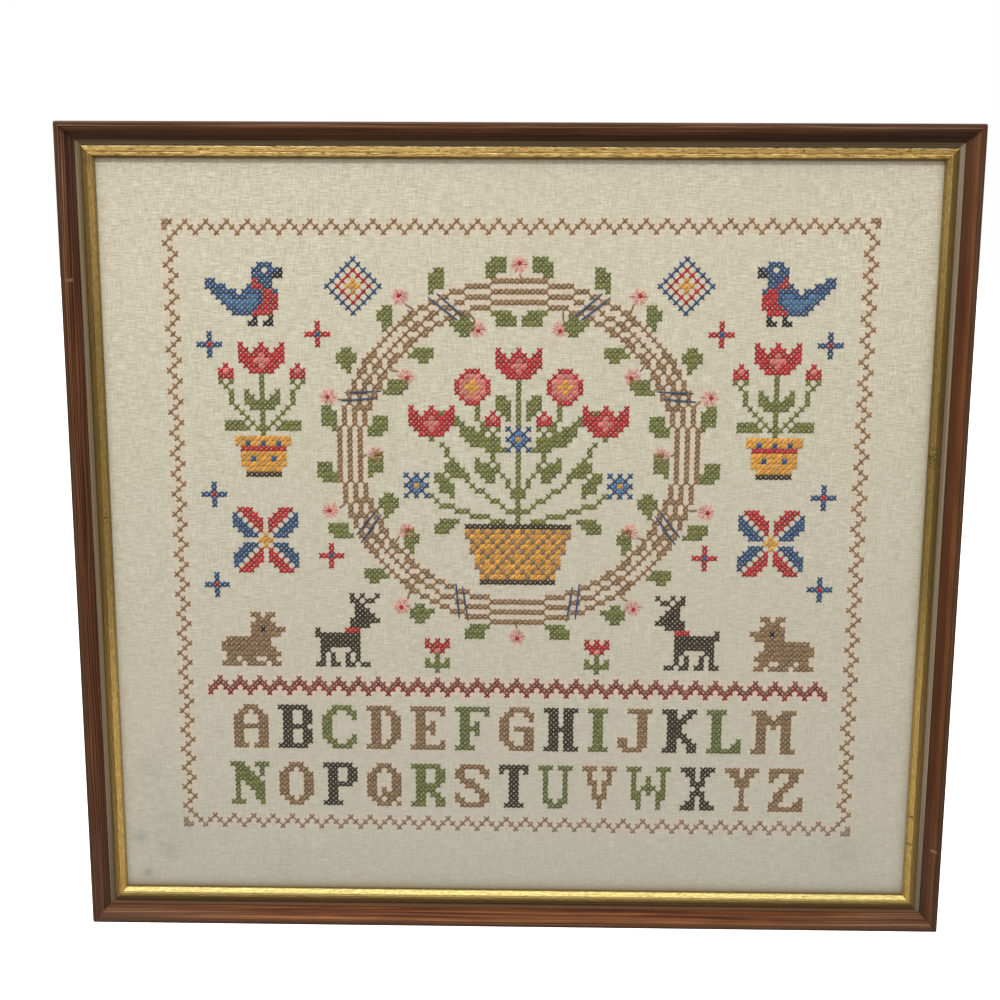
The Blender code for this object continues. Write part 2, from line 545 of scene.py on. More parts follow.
def face_outwards(mesh):
    """Makes every face of closed shells look out, and gives back the enclosed volume."""
    shape = bmesh.new()
    shape.from_mesh(mesh)
    bmesh.ops.recalc_face_normals(shape, faces=shape.faces)
    shape.to_mesh(mesh)
    volume = shape.calc_volume(signed=True)
    shape.free()
    return volume


def store_numbers(mesh, numbers):
    """Stores lists of numbers on a mesh's points, each under its name."""
    for label, values in numbers.items():
        mesh.attributes.new(label, "FLOAT", "POINT").data.foreach_set("value", values)


def loop_mesh(name, outline, numbers):
    """An outline as a closed loop of points that carry their own numbers."""
    mesh = bpy.data.meshes.new(name)
    count = len(outline)
    mesh.from_pydata([(a, b, 0.0) for a, b in outline], [(n, (n + 1) % count) for n in range(count)], [])
    store_numbers(mesh, numbers)
    return mesh


def section_mesh(name, section):
    """A moulding's section, whose points know their inset, their rise and their place round it."""
    insets, rises = zip(*section)
    return loop_mesh(name, section, {"inset": insets, "rise": rises, "round": round_lengths(section)})


# %% [markdown]
# ## Stained wood
# The rail is a straight-grained softwood under a red-brown stain and a thin satin
# varnish. Grain on a moulding runs with its length, so the pattern reads the UV
# map, where the first number is metres along the run and the second is metres
# round the section. Noise that is stretched far along the run makes streaks, and
# a bent sine wave makes the dark lines between growth rings. The second number
# also tells where the surface lies: past the bead's crest runs a pale line, partly
# worn polish and partly a painted highlight; a painted sheen lightens the hollow;
# and the wood is darker beside the cove. Each side has aged in its own way, and
# each side is also painted lighter or darker for the way it meets the light, so a
# finish has a table of amounts, each given for the top, right, bottom and left.
# The first number of the UV map carries a seed that tells which side a point is on.

# %% Helpers for finishes on the mouldings
SEED_STEP = 3.7
HALF_SIDE = 0.5
ONE_SIDE = {
    "top": (1.0, 0.0, 0.0, 0.0),
    "right": (0.0, 1.0, 0.0, 0.0),
    "bottom": (0.0, 0.0, 1.0, 0.0),
    "left": (0.0, 0.0, 0.0, 1.0),
    "upright": (0.0, 1.0, 0.0, 1.0),
}


def side_seed(number, section):
    """Where along the noise a length of moulding starts, so that no two look alike."""
    return SEED_STEP * number + len(section)


def place_on_uv(tree):
    """The UV map, and its two numbers."""
    uv = add_node(tree, "ShaderNodeUVMap", uv_map="UVMap")
    return uv, *add_node(tree, "ShaderNodeSeparateXYZ", {0: uv}, out=("X", "Y"))


def on_moulding(tree, section, amounts):
    """The UV map, metres along, from the middle and round, and the amounts by side."""
    uv, along, round_place = place_on_uv(tree)
    seeds = [side_seed(number, section) for number in range(4)]
    masks = [maths("COMPARE", along, seed, HALF_SIDE) for seed in seeds]

    def by_side(numbers):
        parts = [mask * number for mask, number in zip(masks, numbers) if number]
        return sum(parts[1:], parts[0])

    side = {label: by_side(numbers) for label, numbers in {**ONE_SIDE, **amounts}.items()}
    return uv, along, along - by_side(seeds), round_place, side


def fading(value, low, high, most=1.0):
    """All of the most below the first limit, and nothing above the second."""
    return spread(value, low, high, most, 0.0)


def band(value, rise, fall):
    """One between two soft edges, and nothing beyond them."""
    return spread(value, *rise) * fading(value, *fall)


def near_spots(from_middle, spots):
    """One at the listed places along the sides, and nothing away from them."""
    nearness = [here * fading(abs(from_middle - place), 0.3 * reach, reach)
                for here, place, reach in spots]
    return sum(nearness[1:], nearness[0])


def clouded(colour, vector, layers):
    """Lays other colours over one, each where its own noise lies in a range."""
    for scale, detail, noise_range, shares, over in layers:
        share = spread(cloudy(vector, scale, detail), *noise_range, *shares)
        colour = mixed(share, colour, over)
    return colour


def object_height(tree):
    """How high a point lies, in the frame's own metres."""
    place = add_node(tree, "ShaderNodeTexCoord", out="Object")
    return add_node(tree, "ShaderNodeSeparateXYZ", {0: place}, out="Z")


# %% Stained wood finish
WOOD_STREAKS = (
    # grain's height, colour
    (0.36, (0.020, 0.0070, 0.0035)),
    (0.44, (0.092, 0.0312, 0.0136)),
    (0.54, (0.168, 0.062, 0.027)),
    (0.66, (0.330, 0.155, 0.078)),
)
WOOD_CLOUDS = (
    # stretch along and round, detail, range of the noise, share at its ends, colour
    ((2.7, 260.0), 2.0, (0.35, 0.65), (0.0, 0.45), (0.075, 0.025, 0.010)),
    ((16.0, 150.0), 3.0, (0.50, 0.68), (0.0, 0.40), (0.048, 0.0165, 0.0075)),
    ((16.0, 150.0), 3.0, (0.32, 0.50), (0.25, 0.0), (0.240, 0.106, 0.052)),
)
WOOD_BY_SIDE = {
    # amount: top, right, bottom, left
    "fineness": (880.0, 880.0, 880.0, 1300.0),
    "plainness": (0.0, 0.60, 0.0, 0.15),
    "ruddiness": (0.0, 0.52, 1.0, 0.0),
    "painted lightness": (0.10, 0.0, 0.40, 1.0),
    "pores": (0.60, 0.14, 1.0, 0.92),
    "rings": (0.26, 0.0, 0.42, 0.86),
    "wear and highlight": (0.90, 0.45, 0.25, 0.45),
    "wear past crest": (0.0010, 0.0004, 0.0004, 0.0004),
    "wear's wander": (0.0048, 0.0008, 0.0008, 0.0008),
    "darkening": (0.76, 0.62, 0.12, 0.68),
    "grime's reach": (0.0014, 0.0012, 0.0, 0.0003),
    "outer shade": (0.58, 0.72, 0.72, 0.72),
    "shade past crest": (0.0008, 0.0026, 0.0026, 0.0014),
}
GRAIN_SWAY = 0.0060
PLAIN_GRAIN = 0.52
RING_LINES = 3700.0
RING_BEND = 7.0
LOW_DOWN = (-0.46, -0.14)
GRIME_RANGE = (0.0076, 0.0012)
PAINTED_SHEEN_RANGE = ((0.0006, 0.0020), (0.0040, 0.0062))
SCRATCH_RANGE = ((0.0016, 0.0022), (0.0066, 0.0074))
SCRATCH_DEPTH = 0.45
DARK_LINE = (0.022, 0.009, 0.006)
PALE_WEAR_AND_HIGHLIGHT = (0.300, 0.190, 0.120)
WOOD_DARKENING = (0.026, 0.011, 0.0055)
OUTER_SHADE = (0.040, 0.020, 0.011)
SCRATCH = (0.360, 0.210, 0.140)
RUDDY_TINT = (0.93, 0.80, 0.52)
LOW_TINT = (0.78, 0.82, 0.90)
PAINTED_LIGHT_TINT = (1.34, 1.32, 1.26)
PAINTED_SHEEN_TINT = (1.16, 1.30, 1.44)
MITRE_TINT = (1.0, 1.17, 1.42)
BOTTOM_MITRE_TINT = (0.80, 0.90, 1.12)
TOP_RIGHT_TINT = (0.60, 0.64, 0.74)


def stained_wood():
    material, shader = new_finish("stained_wood_finish", {"Specular IOR Level": 0.08})
    tree = material.node_tree
    section = rail_section()
    uv, along, from_middle, round_place, side = on_moulding(tree, section, WOOD_BY_SIDE)
    face_end_at = round_lengths(section)[section.index((RAIL_FACE_WIDTH, LEDGE_RISE)) - 1]
    past_crest = round_place - crest_length(section)
    low_down = fading(object_height(tree), *LOW_DOWN)

    # Streaks that sway along the run, with broad bands and mottles over them
    wavy_round = round_place + (cloudy(uv, (5.5, 60.0), 2.0) - 0.5) * GRAIN_SWAY
    grain = cloudy(joined(along * 5.0, wavy_round * side["fineness"]), 1.0, 4.0, 0.72)
    streaks = side["plainness"] * (PLAIN_GRAIN - grain) + grain
    wood = clouded(ramp(streaks, WOOD_STREAKS), uv, WOOD_CLOUDS)
    wood = tinted(side["ruddiness"], wood, RUDDY_TINT)
    wood = tinted(side["upright"] * low_down, wood, LOW_TINT)
    # Each side is painted lighter by its own amount, for the way it meets the light
    wood = tinted(side["painted lightness"], wood, PAINTED_LIGHT_TINT)

    # Dark pores, and the dark lines between growth rings
    pores = spread(cloudy(joined(along, wavy_round), (4.3, 1500.0), 1.5, 0.6), 0.53, 0.59)
    pores = pores * side["pores"] * spread(low_down, 0.0, 1.0, 1.0, 0.36)
    bend = cloudy(uv, (4.3, 70.0), 2.0) * RING_BEND
    rings = spread(maths("SINE", wavy_round * RING_LINES + bend), 0.05, 0.95) * side["rings"]
    dark_lines = maths("MAXIMUM", pores, rings)
    wood = mixed(dark_lines, wood, DARK_LINE)

    # Worn polish and a painted highlight past the crest, darker wood beside the cove, a painted sheen
    # between them
    roaming = (cloudy(uv, (10.0, 1.0), 2.0) - 0.5) * side["wear's wander"]
    from_worn = abs(past_crest - side["wear past crest"] - roaming)
    worn = side["wear and highlight"] * fading(from_worn, 0.0002, 0.0008)
    worn = worn * spread(cloudy(uv, (12.0, 900.0)), 0.42, 0.60)
    wood = mixed(worn * spread(low_down, 0.3, 1.0, 1.0, 0.25), wood, PALE_WEAR_AND_HIGHLIGHT)
    # Darker beside the cove, most on the top and least on the bottom
    foot_reach = round_place + side["grime's reach"]
    near_foot = spread(foot_reach, *(face_end_at - before for before in GRIME_RANGE))
    wood = mixed(near_foot * side["darkening"], wood, WOOD_DARKENING)
    # A painted sheen lightens the hollow past the bead
    wood = tinted(band(past_crest, *PAINTED_SHEEN_RANGE), wood, PAINTED_SHEEN_TINT)

    # Greyer towards the mitres, darker at the right of the top and on the outer side
    near_mitre = spread(abs(from_middle), 0.14, 0.25)
    wood = tinted(near_mitre, wood, MITRE_TINT)
    wood = tinted(near_mitre * side["bottom"], wood, BOTTOM_MITRE_TINT)
    right_part = spread(from_middle, -0.10, 0.25) * side["top"]
    wood = tinted(right_part * near_foot, wood, TOP_RIGHT_TINT)
    outside = fading(past_crest - side["shade past crest"], -0.0008, 0.0)
    wood = mixed(side["outer shade"] * outside, wood, OUTER_SHADE)

    # A pale scratch on the right side, and one on the left
    scratches = ((side["right"], 0.2003, 0.0012), (side["left"], 0.1615, 0.0014))
    scratched = near_spots(from_middle, scratches) * band(past_crest, *SCRATCH_RANGE)
    wood = mixed(scratched * SCRATCH_DEPTH, wood, SCRATCH)
    flows = {"Base Color": wood, "Roughness": spread(streaks, 0.3, 0.7, 0.56, 0.40)}
    dress(shader, flows, streaks - dark_lines * 0.6, 0.00022)
    return material


STAINED_WOOD = stained_wood()
print("stained wood:", len(STAINED_WOOD.node_tree.nodes), "nodes")

# %% [markdown]
# ## Painted cove
# The thin band inside the wood is a flat grey-brown paint. Brushed paint shows
# faint lines along its run, and dust and shade darken it towards the slip. The
# top and the bottom lie deepest in shade, the right side catches most light.

# %% Painted cove finish
COVE_STREAKS = (
    # height of a brushed line, colour
    (0.32, (0.120, 0.086, 0.048)),
    (0.55, (0.220, 0.162, 0.098)),
    (0.75, (0.330, 0.255, 0.170)),
)
COVE_CLOUDS = (
    # scale, detail, range of the noise, share at its ends, colour
    (900.0, 2.0, (0.64, 0.72), (0.0, 0.5), (0.050, 0.034, 0.022)),
)
COVE_BY_SIDE = {"dust": (0.94, 0.42, 0.60, 0.62), "shade": (0.50, 0.0, 0.70, 0.0)}
COVE_DUST_AND_SHADE = (0.050, 0.033, 0.010)
COVE_SHADE = (0.056, 0.036, 0.018)
RIGHT_COVE_TINT = (1.07, 1.13, 1.27)
BOTTOM_COVE_TINT = (0.80, 0.36, 0.17)
LOW_COVE_TINT = (0.72, 0.74, 0.80)
UNDARKENED_EDGE = 0.0004


def painted_cove():
    material, shader = new_finish("painted_cove_finish", {"Roughness": 0.62, "Specular IOR Level": 0.12})
    tree = material.node_tree
    section = cove_section()
    lengths = round_lengths(section)
    uv, _, _, round_place, side = on_moulding(tree, section, COVE_BY_SIDE)
    brushed = cloudy(uv, (5.5, 1500.0), 4.0)
    # Dust and painted shade darken the paint towards the slip's wall
    inwards = spread(round_place, lengths[1] + UNDARKENED_EDGE, lengths[-2])
    paint = mixed(side["dust"] * inwards, ramp(brushed, COVE_STREAKS), COVE_DUST_AND_SHADE)
    paint = tinted(side["right"], paint, RIGHT_COVE_TINT)
    paint = tinted(side["bottom"], paint, BOTTOM_COVE_TINT)
    paint = mixed(side["shade"], paint, COVE_SHADE)
    low_end = fading(object_height(tree), -0.475, -0.40) * side["upright"]
    paint = clouded(tinted(low_end, paint, LOW_COVE_TINT), uv, COVE_CLOUDS)
    dress(shader, {"Base Color": paint}, brushed, 0.00010)
    return material


PAINTED_COVE = painted_cove()
print("painted cove:", len(PAINTED_COVE.node_tree.nodes), "nodes")

# %% [markdown]
# ## Worn gilt
# The slip is bronze-gold leaf over wood. Light on its two slopes does most of the
# work: the metal reflects the bright room above on the slope below the linen, and
# the dim one elsewhere. Each side's leaf is also painted brighter or darker for the
# way that side meets the light. The leaf is olive and dull on the outer slope, with
# painted shade there too, streaked with brown, rubbed through to the dark ground
# along its crest, dirty and darkened by painted shade at its foot and rim, and
# broken by small nicks and cuts. The top has a painted highlight along its outer
# edge, and the bottom's foot is a paler brown. The uprights have a painted gleam at
# their low ends, where they face the viewer most.

# %% Worn gilt finish
LEAF_STREAKS = (
    # height of a streak, colour
    (0.30, (0.340, 0.218, 0.064)),
    (0.45, (0.555, 0.378, 0.124)),
    (0.56, (0.690, 0.485, 0.175)),
    (0.70, (0.860, 0.665, 0.295)),
)
LOW_GLEAM = (
    # share of the height, how bright the uprights are there
    (0.08, (1.0, 1.0, 1.0)),
    (0.30, (0.97, 0.97, 0.97)),
    (0.46, (0.52, 0.52, 0.50)),
    (0.76, (0.50, 0.50, 0.47)),
    (0.88, (0.68, 0.68, 0.68)),
)
GLEAM_GAIN = (1.62, 1.62, 1.62)
GILT_BY_SIDE = {
    # amount: top, right, bottom, left
    "red": (1.34, 0.72, 0.78, 0.83),
    "green": (1.34, 0.72, 0.91, 0.82),
    "blue": (1.22, 0.69, 0.98, 0.80),
    "rubbing": (1.2, 1.0, 1.0, 1.0),
    "nicks": (0.0, -0.04, -0.07, -0.03),
    "foot dirt and shade": (0.30, 0.0, 0.92, 0.66),
    "foot width": (0.0006, 0.0008, 0.0031, 0.0009),
    "rim dirt and shade": (0.95, 0.42, 0.95, 0.40),
    "rim width": (0.0030, 0.0023, 0.0002, 0.0019),
    "rim shift": (0.0, 0.0, 0.0007, 0.0),
    "dullness and shade": (0.86, 0.78, 0.88, 0.74),
    "dull past crest": (0.0, 0.0005, 0.0022, 0.0006),
    "brown dashes": (0.85, 0.15, 0.0, 0.20),
    "edge highlight": (0.46, 0.0, 0.0, 0.0),
    "paler foot": (0.0, 0.0, 0.90, 0.0),
}
BORDER_WANDER = 0.0008
CREST_SHIFT = 0.0002
TOP_INNER_TINT = (0.96, 1.02, 1.24)
DULL_SHADED_LEAF = (0.170, 0.115, 0.035)
BROWN_DASH = (0.270, 0.140, 0.034)
PAINTED_EDGE_HIGHLIGHT = (1.0, 0.860, 0.500)
DARK_GROUND_AND_SHADE = (0.090, 0.055, 0.016)
PALE_BROWN_FOOT = (0.260, 0.165, 0.090)


def worn_gilt():
    material, shader = new_finish("worn_gilt_finish", {})
    tree = material.node_tree
    section = slip_section()
    lengths = round_lengths(section)
    uv, _, from_middle, round_place, side = on_moulding(tree, section, GILT_BY_SIDE)

    # Where a point lies, with borders that wander a little
    streaks = cloudy(uv, (280.0, 1500.0), 5.0, 0.66)
    blotches = cloudy(uv, (120.0, 800.0), 4.0, 0.65)
    wandering = round_place + (blotches - 0.5) * BORDER_WANDER
    past_crest = wandering - (crest_length(section) + CREST_SHIFT)
    past_foot = wandering - lengths[1]

    # Where the leaf has gone, along the crest and in nicks, specks and cuts, and where dirt and painted
    # shade darken foot and rim
    patchy = spread(cloudy(uv, (24.0, 90.0), 4.0), 0.40, 0.62, 0.10, 0.80)
    rubbed = fading(abs(past_crest), 0.0001, 0.0005) * patchy * side["rubbing"]
    nicks = spread(cloudy(uv, (210.0, 900.0), 2.0) + side["nicks"], 0.610, 0.680, 0.0, 0.80)
    specks = spread(cloudy(uv, (700.0, 1000.0), 2.0), 0.50, 0.56)
    specks = specks * near_spots(from_middle, ((side["right"], -0.0548, 0.0105),))
    cuts = near_spots(from_middle, (
        (side["right"], 0.1787, 0.0012),
        (side["right"], 0.1973, 0.0012),
        (side["left"], 0.0140, 0.0011),
    ))
    cuts = cuts * spread(past_crest, 0.0, 0.0008, 0.0, 0.95) * spread(blotches, 0.40, 0.56, 0.35, 1.0)
    dirty_shaded_foot = side["foot dirt and shade"] * fading(past_foot / side["foot width"], 0.1, 1.0)
    rim_gap = side["rim shift"] + lengths[-2] - round_place
    dark_rim = side["rim dirt and shade"] * fading(rim_gap / side["rim width"], 0.65, 1.0)
    # One mask for the bare ground, and for the dirt and painted shade at foot and rim
    ground = rubbed
    for bare in (nicks, specks, cuts, dirty_shaded_foot, dark_rim):
        ground = maths("MAXIMUM", ground, bare)

    # The leaf itself
    # Each side's leaf is painted brighter or darker for the way that side meets the light
    leaf = tinted(1.0, ramp(streaks, LEAF_STREAKS), joined(side["red"], side["green"], side["blue"]))
    # A painted gleam on the uprights, brightest at their low ends
    gleam = tinted(1.0, ramp(spread(object_height(tree), -0.50, 0.0), LOW_GLEAM), GLEAM_GAIN)
    leaf = tinted(side["upright"], leaf, gleam)
    leaf = tinted(side["top"] * spread(past_crest, -0.0003, 0.0005), leaf, TOP_INNER_TINT)
    # Dull leaf, with painted shade, on the outer slope
    outside = fading(past_crest - side["dull past crest"], -0.0004, 0.0)
    leaf = mixed(outside * side["dullness and shade"], leaf, DULL_SHADED_LEAF)
    dashes = spread(cloudy(uv, (110.0, 950.0)), 0.50, 0.57) * side["brown dashes"]
    leaf = mixed(dashes, leaf, BROWN_DASH)
    # A painted highlight along the top's outer edge
    edge = fading(abs(past_foot - 0.0005), 0.0002, 0.0006) * spread(blotches, 0.40, 0.55)
    leaf = mixed(edge * side["edge highlight"], leaf, PAINTED_EDGE_HIGHLIGHT)
    leaf = mixed(ground, leaf, DARK_GROUND_AND_SHADE)
    # A paler brown at the foot of the bottom slip
    paler_foot = fading(past_foot, 0.0005, 0.0011) * side["paler foot"]
    leaf = mixed(paler_foot, leaf, PALE_BROWN_FOOT)
    dress(shader, {
        "Base Color": leaf,
        "Metallic": spread(ground, 0.2, 0.8, 0.90, 0.66),
        "Roughness": spread(blotches, 0.3, 0.7, 0.30, 0.50),
    }, streaks + blotches - ground, 0.00040)
    return material


WORN_GILT = worn_gilt()
print("gilt:", len(WORN_GILT.node_tree.nodes), "nodes")

# %% Run the tree for the twelve lengths of moulding
SIDES = (
    # name, turn in degrees, run along, span across
    ("top", 0.0, FRAME_WIDTH, FRAME_HEIGHT),
    ("right", 90.0, FRAME_HEIGHT, FRAME_WIDTH),
    ("bottom", 180.0, FRAME_WIDTH, FRAME_HEIGHT),
    ("left", -90.0, FRAME_HEIGHT, FRAME_WIDTH),
)
LAYERS = (
    # name, section, finish, record slot, corner radius, dent depth
    ("rail", rail_section(), STAINED_WOOD, "stained_wood", 0.0012, 0.00012),
    ("cove", cove_section(), PAINTED_COVE, "painted_cove", 0.0, 0.00006),
    ("slip", slip_section(), WORN_GILT, "worn_gilt", 0.0, 0.00010),
)
SHARP_ANGLE = math.radians(40.0)
HALF_GLUE_LINE = 0.00003

pieces = []
for layer, section, material, slot_name, corner_radius, dent_depth in LAYERS:
    for number, (side, turn, run, span) in enumerate(SIDES):
        node_name = f"{layer}_{side}"
        moulding = new_piece(f"{node_name}_finished", section_mesh(node_name, section))
        run_tree(moulding, MOULDING, {
            "Run": run,
            "Span": span,
            "Mitre Gap": HALF_GLUE_LINE,
            "Corner Radius": corner_radius,
            "Dent Depth": dent_depth,
            "Seed": side_seed(number, section),
            "Turn": math.radians(turn),
            "Centre Height": CENTRE_HEIGHT,
            "Material": material,
        })
        volume = face_outwards(moulding.data)
        moulding.data.set_sharp_from_angle(angle=SHARP_ANGLE)
        pieces.append((moulding, slot_name, (node_name,)))
        print(moulding.name, len(moulding.data.polygons), "faces,", round(volume * 1e6, 1), "ml")

# %% [markdown]
# ## The chart
# Cross stitch is worked from a chart: a grid whose squares say which thread goes
# where. Here the chart is a dictionary from (column, row) to a letter for the
# thread. Small motifs are typed in as rows of letters, and a dot leaves the linen
# bare. Whatever follows a rule, such as the zigzag border, the rope of the wreath,
# leaves, stems and diamonds, is drawn by a function. The motifs and their layout
# are made up for this piece, in the colours and at the scale of such samplers.

# %% Thread colours and the grid
THREADS = {
    # letter: name, colour of the thread
    "b": ("brown", (0.238, 0.152, 0.067)),
    "t": ("tan", (0.218, 0.130, 0.056)),
    "d": ("dark_brown", (0.038, 0.025, 0.010)),
    "g": ("moss", (0.130, 0.143, 0.026)),
    "l": ("olive", (0.118, 0.133, 0.030)),
    "r": ("red", (0.380, 0.012, 0.016)),
    "m": ("madder", (0.225, 0.028, 0.020)),
    "s": ("dusty_rose", (0.200, 0.098, 0.060)),
    "w": ("rose", (0.560, 0.170, 0.140)),
    "p": ("pink", (0.800, 0.440, 0.370)),
    "n": ("navy", (0.022, 0.062, 0.150)),
    "u": ("blue", (0.050, 0.140, 0.270)),
    "o": ("gold", (0.620, 0.290, 0.035)),
    "k": ("black", (0.010, 0.011, 0.016)),
}
COLUMNS = 137
ROWS = 121
MIDDLE = 68
LETTER_GAP = 2
GRID_LEFT = -FRAME_WIDTH / 2 + 0.0614
GRID_TOP = CENTRE_HEIGHT + FRAME_HEIGHT / 2 - 0.0573
CELL_WIDTH = 0.4300 / (COLUMNS - 1)
CELL_HEIGHT = 0.3888 / (ROWS - 1)

chart = {}


def cross(column, row, thread):
    chart[(column, row)] = thread


def draw(motif, column, row, mirrored=False, thread=None):
    """Copies a motif into the chart, its rows parted by slashes, and gives its width."""
    lines = motif.split("/")
    wide = max(len(line) for line in lines)
    for down, line in enumerate(lines):
        for across, letter in enumerate(line):
            if letter != ".":
                place = wide - 1 - across if mirrored else across
                cross(column + place, row + down, thread or letter)
    return wide


def draw_pair(motif, column, row):
    """A motif and its mirror image on the other side of the middle."""
    wide = draw(motif, column, row)
    draw(motif, 2 * MIDDLE - column - wide + 1, row, mirrored=True)


# %% Border, band and letters
def border():
    wave = (0, 1, 2, 1)
    for column in range(4, COLUMNS - 4):
        for row in (wave[column % 4], ROWS - 1 - wave[column % 4]):
            cross(column, row, "b")
    for row in range(4, ROWS - 4):
        for column in (wave[row % 4], COLUMNS - 1 - wave[row % 4]):
            cross(column, row, "b")
    for across, down in ((3, 1), (2, 2), (1, 3), (0, 0), (1, 0), (0, 1)):
        for column in (across, COLUMNS - 1 - across):
            for row in (down, ROWS - 1 - down):
                cross(column, row, "b")


def zigzag_band(top, margin):
    wave = (2, 1, 0, 1)
    for column in range(margin, COLUMNS - margin):
        step = wave[(column - margin) % 4]
        cross(column, top + step, "s")
        cross(column, top + 1 + step, "m")


LETTERS = {
    "A": "..###../.##.##./##...##/##...##/#######/##...##/##...##/##...##/###.###",
    "B": "######./.##..##/.##..##/.##..##/.#####./.##..##/.##..##/.##..##/######.",
    "C": "..####./.##..##/##....#/##...../##...../##...../##....#/.##..##/..####.",
    "D": "#####../.##.##./.##..##/.##..##/.##..##/.##..##/.##..##/.##.##./#####..",
    "E": "#######/.##...#/.##..../.##.#../.####../.##.#../.##..../.##...#/#######",
    "F": "#######/.##...#/.##..../.##.#../.####../.##.#../.##..../.##..../####...",
    "G": "..####./.##..##/##....#/##...../##.####/##...##/##...##/.##..##/..#####",
    "H": "###.###/.##.##./.##.##./.##.##./.#####./.##.##./.##.##./.##.##./###.###",
    "I": "####/.##./.##./.##./.##./.##./.##./.##./####",
    "J": "..#####/....##./....##./....##./....##./....##./##..##./##..##./.####..",
    "K": "###..##/.##.##./.####../.###.../.###.../.####../.##.##./.##..##/###..##",
    "L": "####.../.##..../.##..../.##..../.##..../.##..../.##...#/.##..##/#######",
    "M": "###...###/.###.###./.#######./.##.#.##./.##...##./.##...##./.##...##./.##...##./###...###",
    "N": "###..###/.###..#./.####.#./.#####../.#.####./.#..###./.#...##./.#...##./###...#.",
    "O": "..###../.##.##./##...##/##...##/##...##/##...##/##...##/.##.##./..###..",
    "P": "######./.##..##/.##..##/.##..##/.#####./.##..../.##..../.##..../####...",
    "Q": "..###../.##.##./##...##/##...##/##...##/##.#.##/##.####/.##.##./..###.#",
    "R": "######./.##..##/.##..##/.##..##/.#####./.####../.##.##./.##..##/###..##",
    "S": ".#####./##...##/##....#/.###.../..###../....##./#....##/##...##/.#####.",
    "T": "######/#.##.#/..##../..##../..##../..##../..##../..##../.####.",
    "U": "###.###/.#...#./.#...#./.#...#./.#...#./.#...#./.#...#./.##.##./..###..",
    "V": "###.###/.#...#./.#...#./.##.##./..#.#../..#.#../..###../...#.../...#...",
    "W": "###...###/.#.....#./.#..#..#./.#..#..#./.#.###.#./.##.#.##./.##...##./..#...#../..#...#..",
    "X": "###.###/.##.##./..#.#../..###../...#.../..###../..#.#../.##.##./###.###",
    "Y": "###.###/.##.##./..###../..###../...#.../...#.../...#.../...#.../..###..",
    "Z": "#######/##..##./#...##./...##../..##.../.##..../.##...#/##...##/#######",
}


def line_of_letters(row, text, threads):
    """A centred line of the alphabet, each letter in its own thread."""
    widths = [len(LETTERS[letter].split("/")[0]) for letter in text]
    column = MIDDLE - (sum(widths) + LETTER_GAP * (len(text) - 1)) // 2
    for letter, thread in zip(text, threads):
        column += draw(LETTERS[letter], column, row, thread=thread) + LETTER_GAP


border()
zigzag_band(89, 6)
line_of_letters(95, "ABCDEFGHIJKLM", "tdgttltdgtdlt")
line_of_letters(107, "NOPQRSTUVWXYZ", "gtdtgtdltgdtt")
print("border, band and letters:", len(chart), "crosses")

# %% Motifs that follow a rule
def line_of_crosses(start, end, thread):
    count = max(abs(end[0] - start[0]), abs(end[1] - start[1]), 1)
    for step in range(count + 1):
        place = [round(a + (b - a) * step / count) for a, b in zip(start, end)]
        cross(place[0], place[1], thread)


def stem(points):
    for start, end in zip(points, points[1:]):
        line_of_crosses(start, end, "g")


def leaf(column, row, turn, length=5, half_width=1.5):
    """A pointed leaf that grows from its stalk, its lower half in the paler thread."""
    cos_turn, sin_turn = math.cos(turn), math.sin(turn)
    for across in range(-length, length + 1):
        for down in range(-length, length + 1):
            out = across * cos_turn + down * sin_turn
            off = down * cos_turn - across * sin_turn
            if 0 <= out <= length:
                if abs(off) <= half_width * math.sin(math.pi * (out + 0.5) / (length + 1)):
                    cross(round(column) + across, round(row) + down, "l" if off > 0.6 else "g")


def ring(centre, radii, thread):
    """An oval line of crosses."""
    count = int(8 * max(radii))
    for step in range(count):
        angle = math.tau * step / count
        across = centre[0] + radii[0] * math.cos(angle)
        down = centre[1] + radii[1] * math.sin(angle)
        cross(round(across), round(down), thread)


def diamond(column, row, radius, thread, filled=False):
    for across in range(-radius, radius + 1):
        for down in range(-radius, radius + 1):
            steps = abs(across) + abs(down)
            if steps == radius or (filled and steps < radius):
                cross(column + across, row + down, thread)


def star(column, row, radius, upright_thread, flat_thread, heart):
    """Eight petals round a small heart, the two threads taking turns."""
    for across in range(-radius, radius + 1):
        for down in range(-radius, radius + 1):
            longer = max(abs(across), abs(down))
            shorter = min(abs(across), abs(down))
            if shorter >= 1 and 1 <= longer - shorter <= 3:
                thread = flat_thread if abs(down) > abs(across) else upright_thread
                cross(column + across, row + down, thread)
    diamond(column, row, 1, heart, filled=True)


def spark(column, row, thread, heart):
    for across, down in ((0, 1), (1, 0), (0, -1), (-1, 0)):
        cross(column + across, row + down, thread)
        cross(column + 2 * across, row + 2 * down, thread)
    cross(column, row, heart)


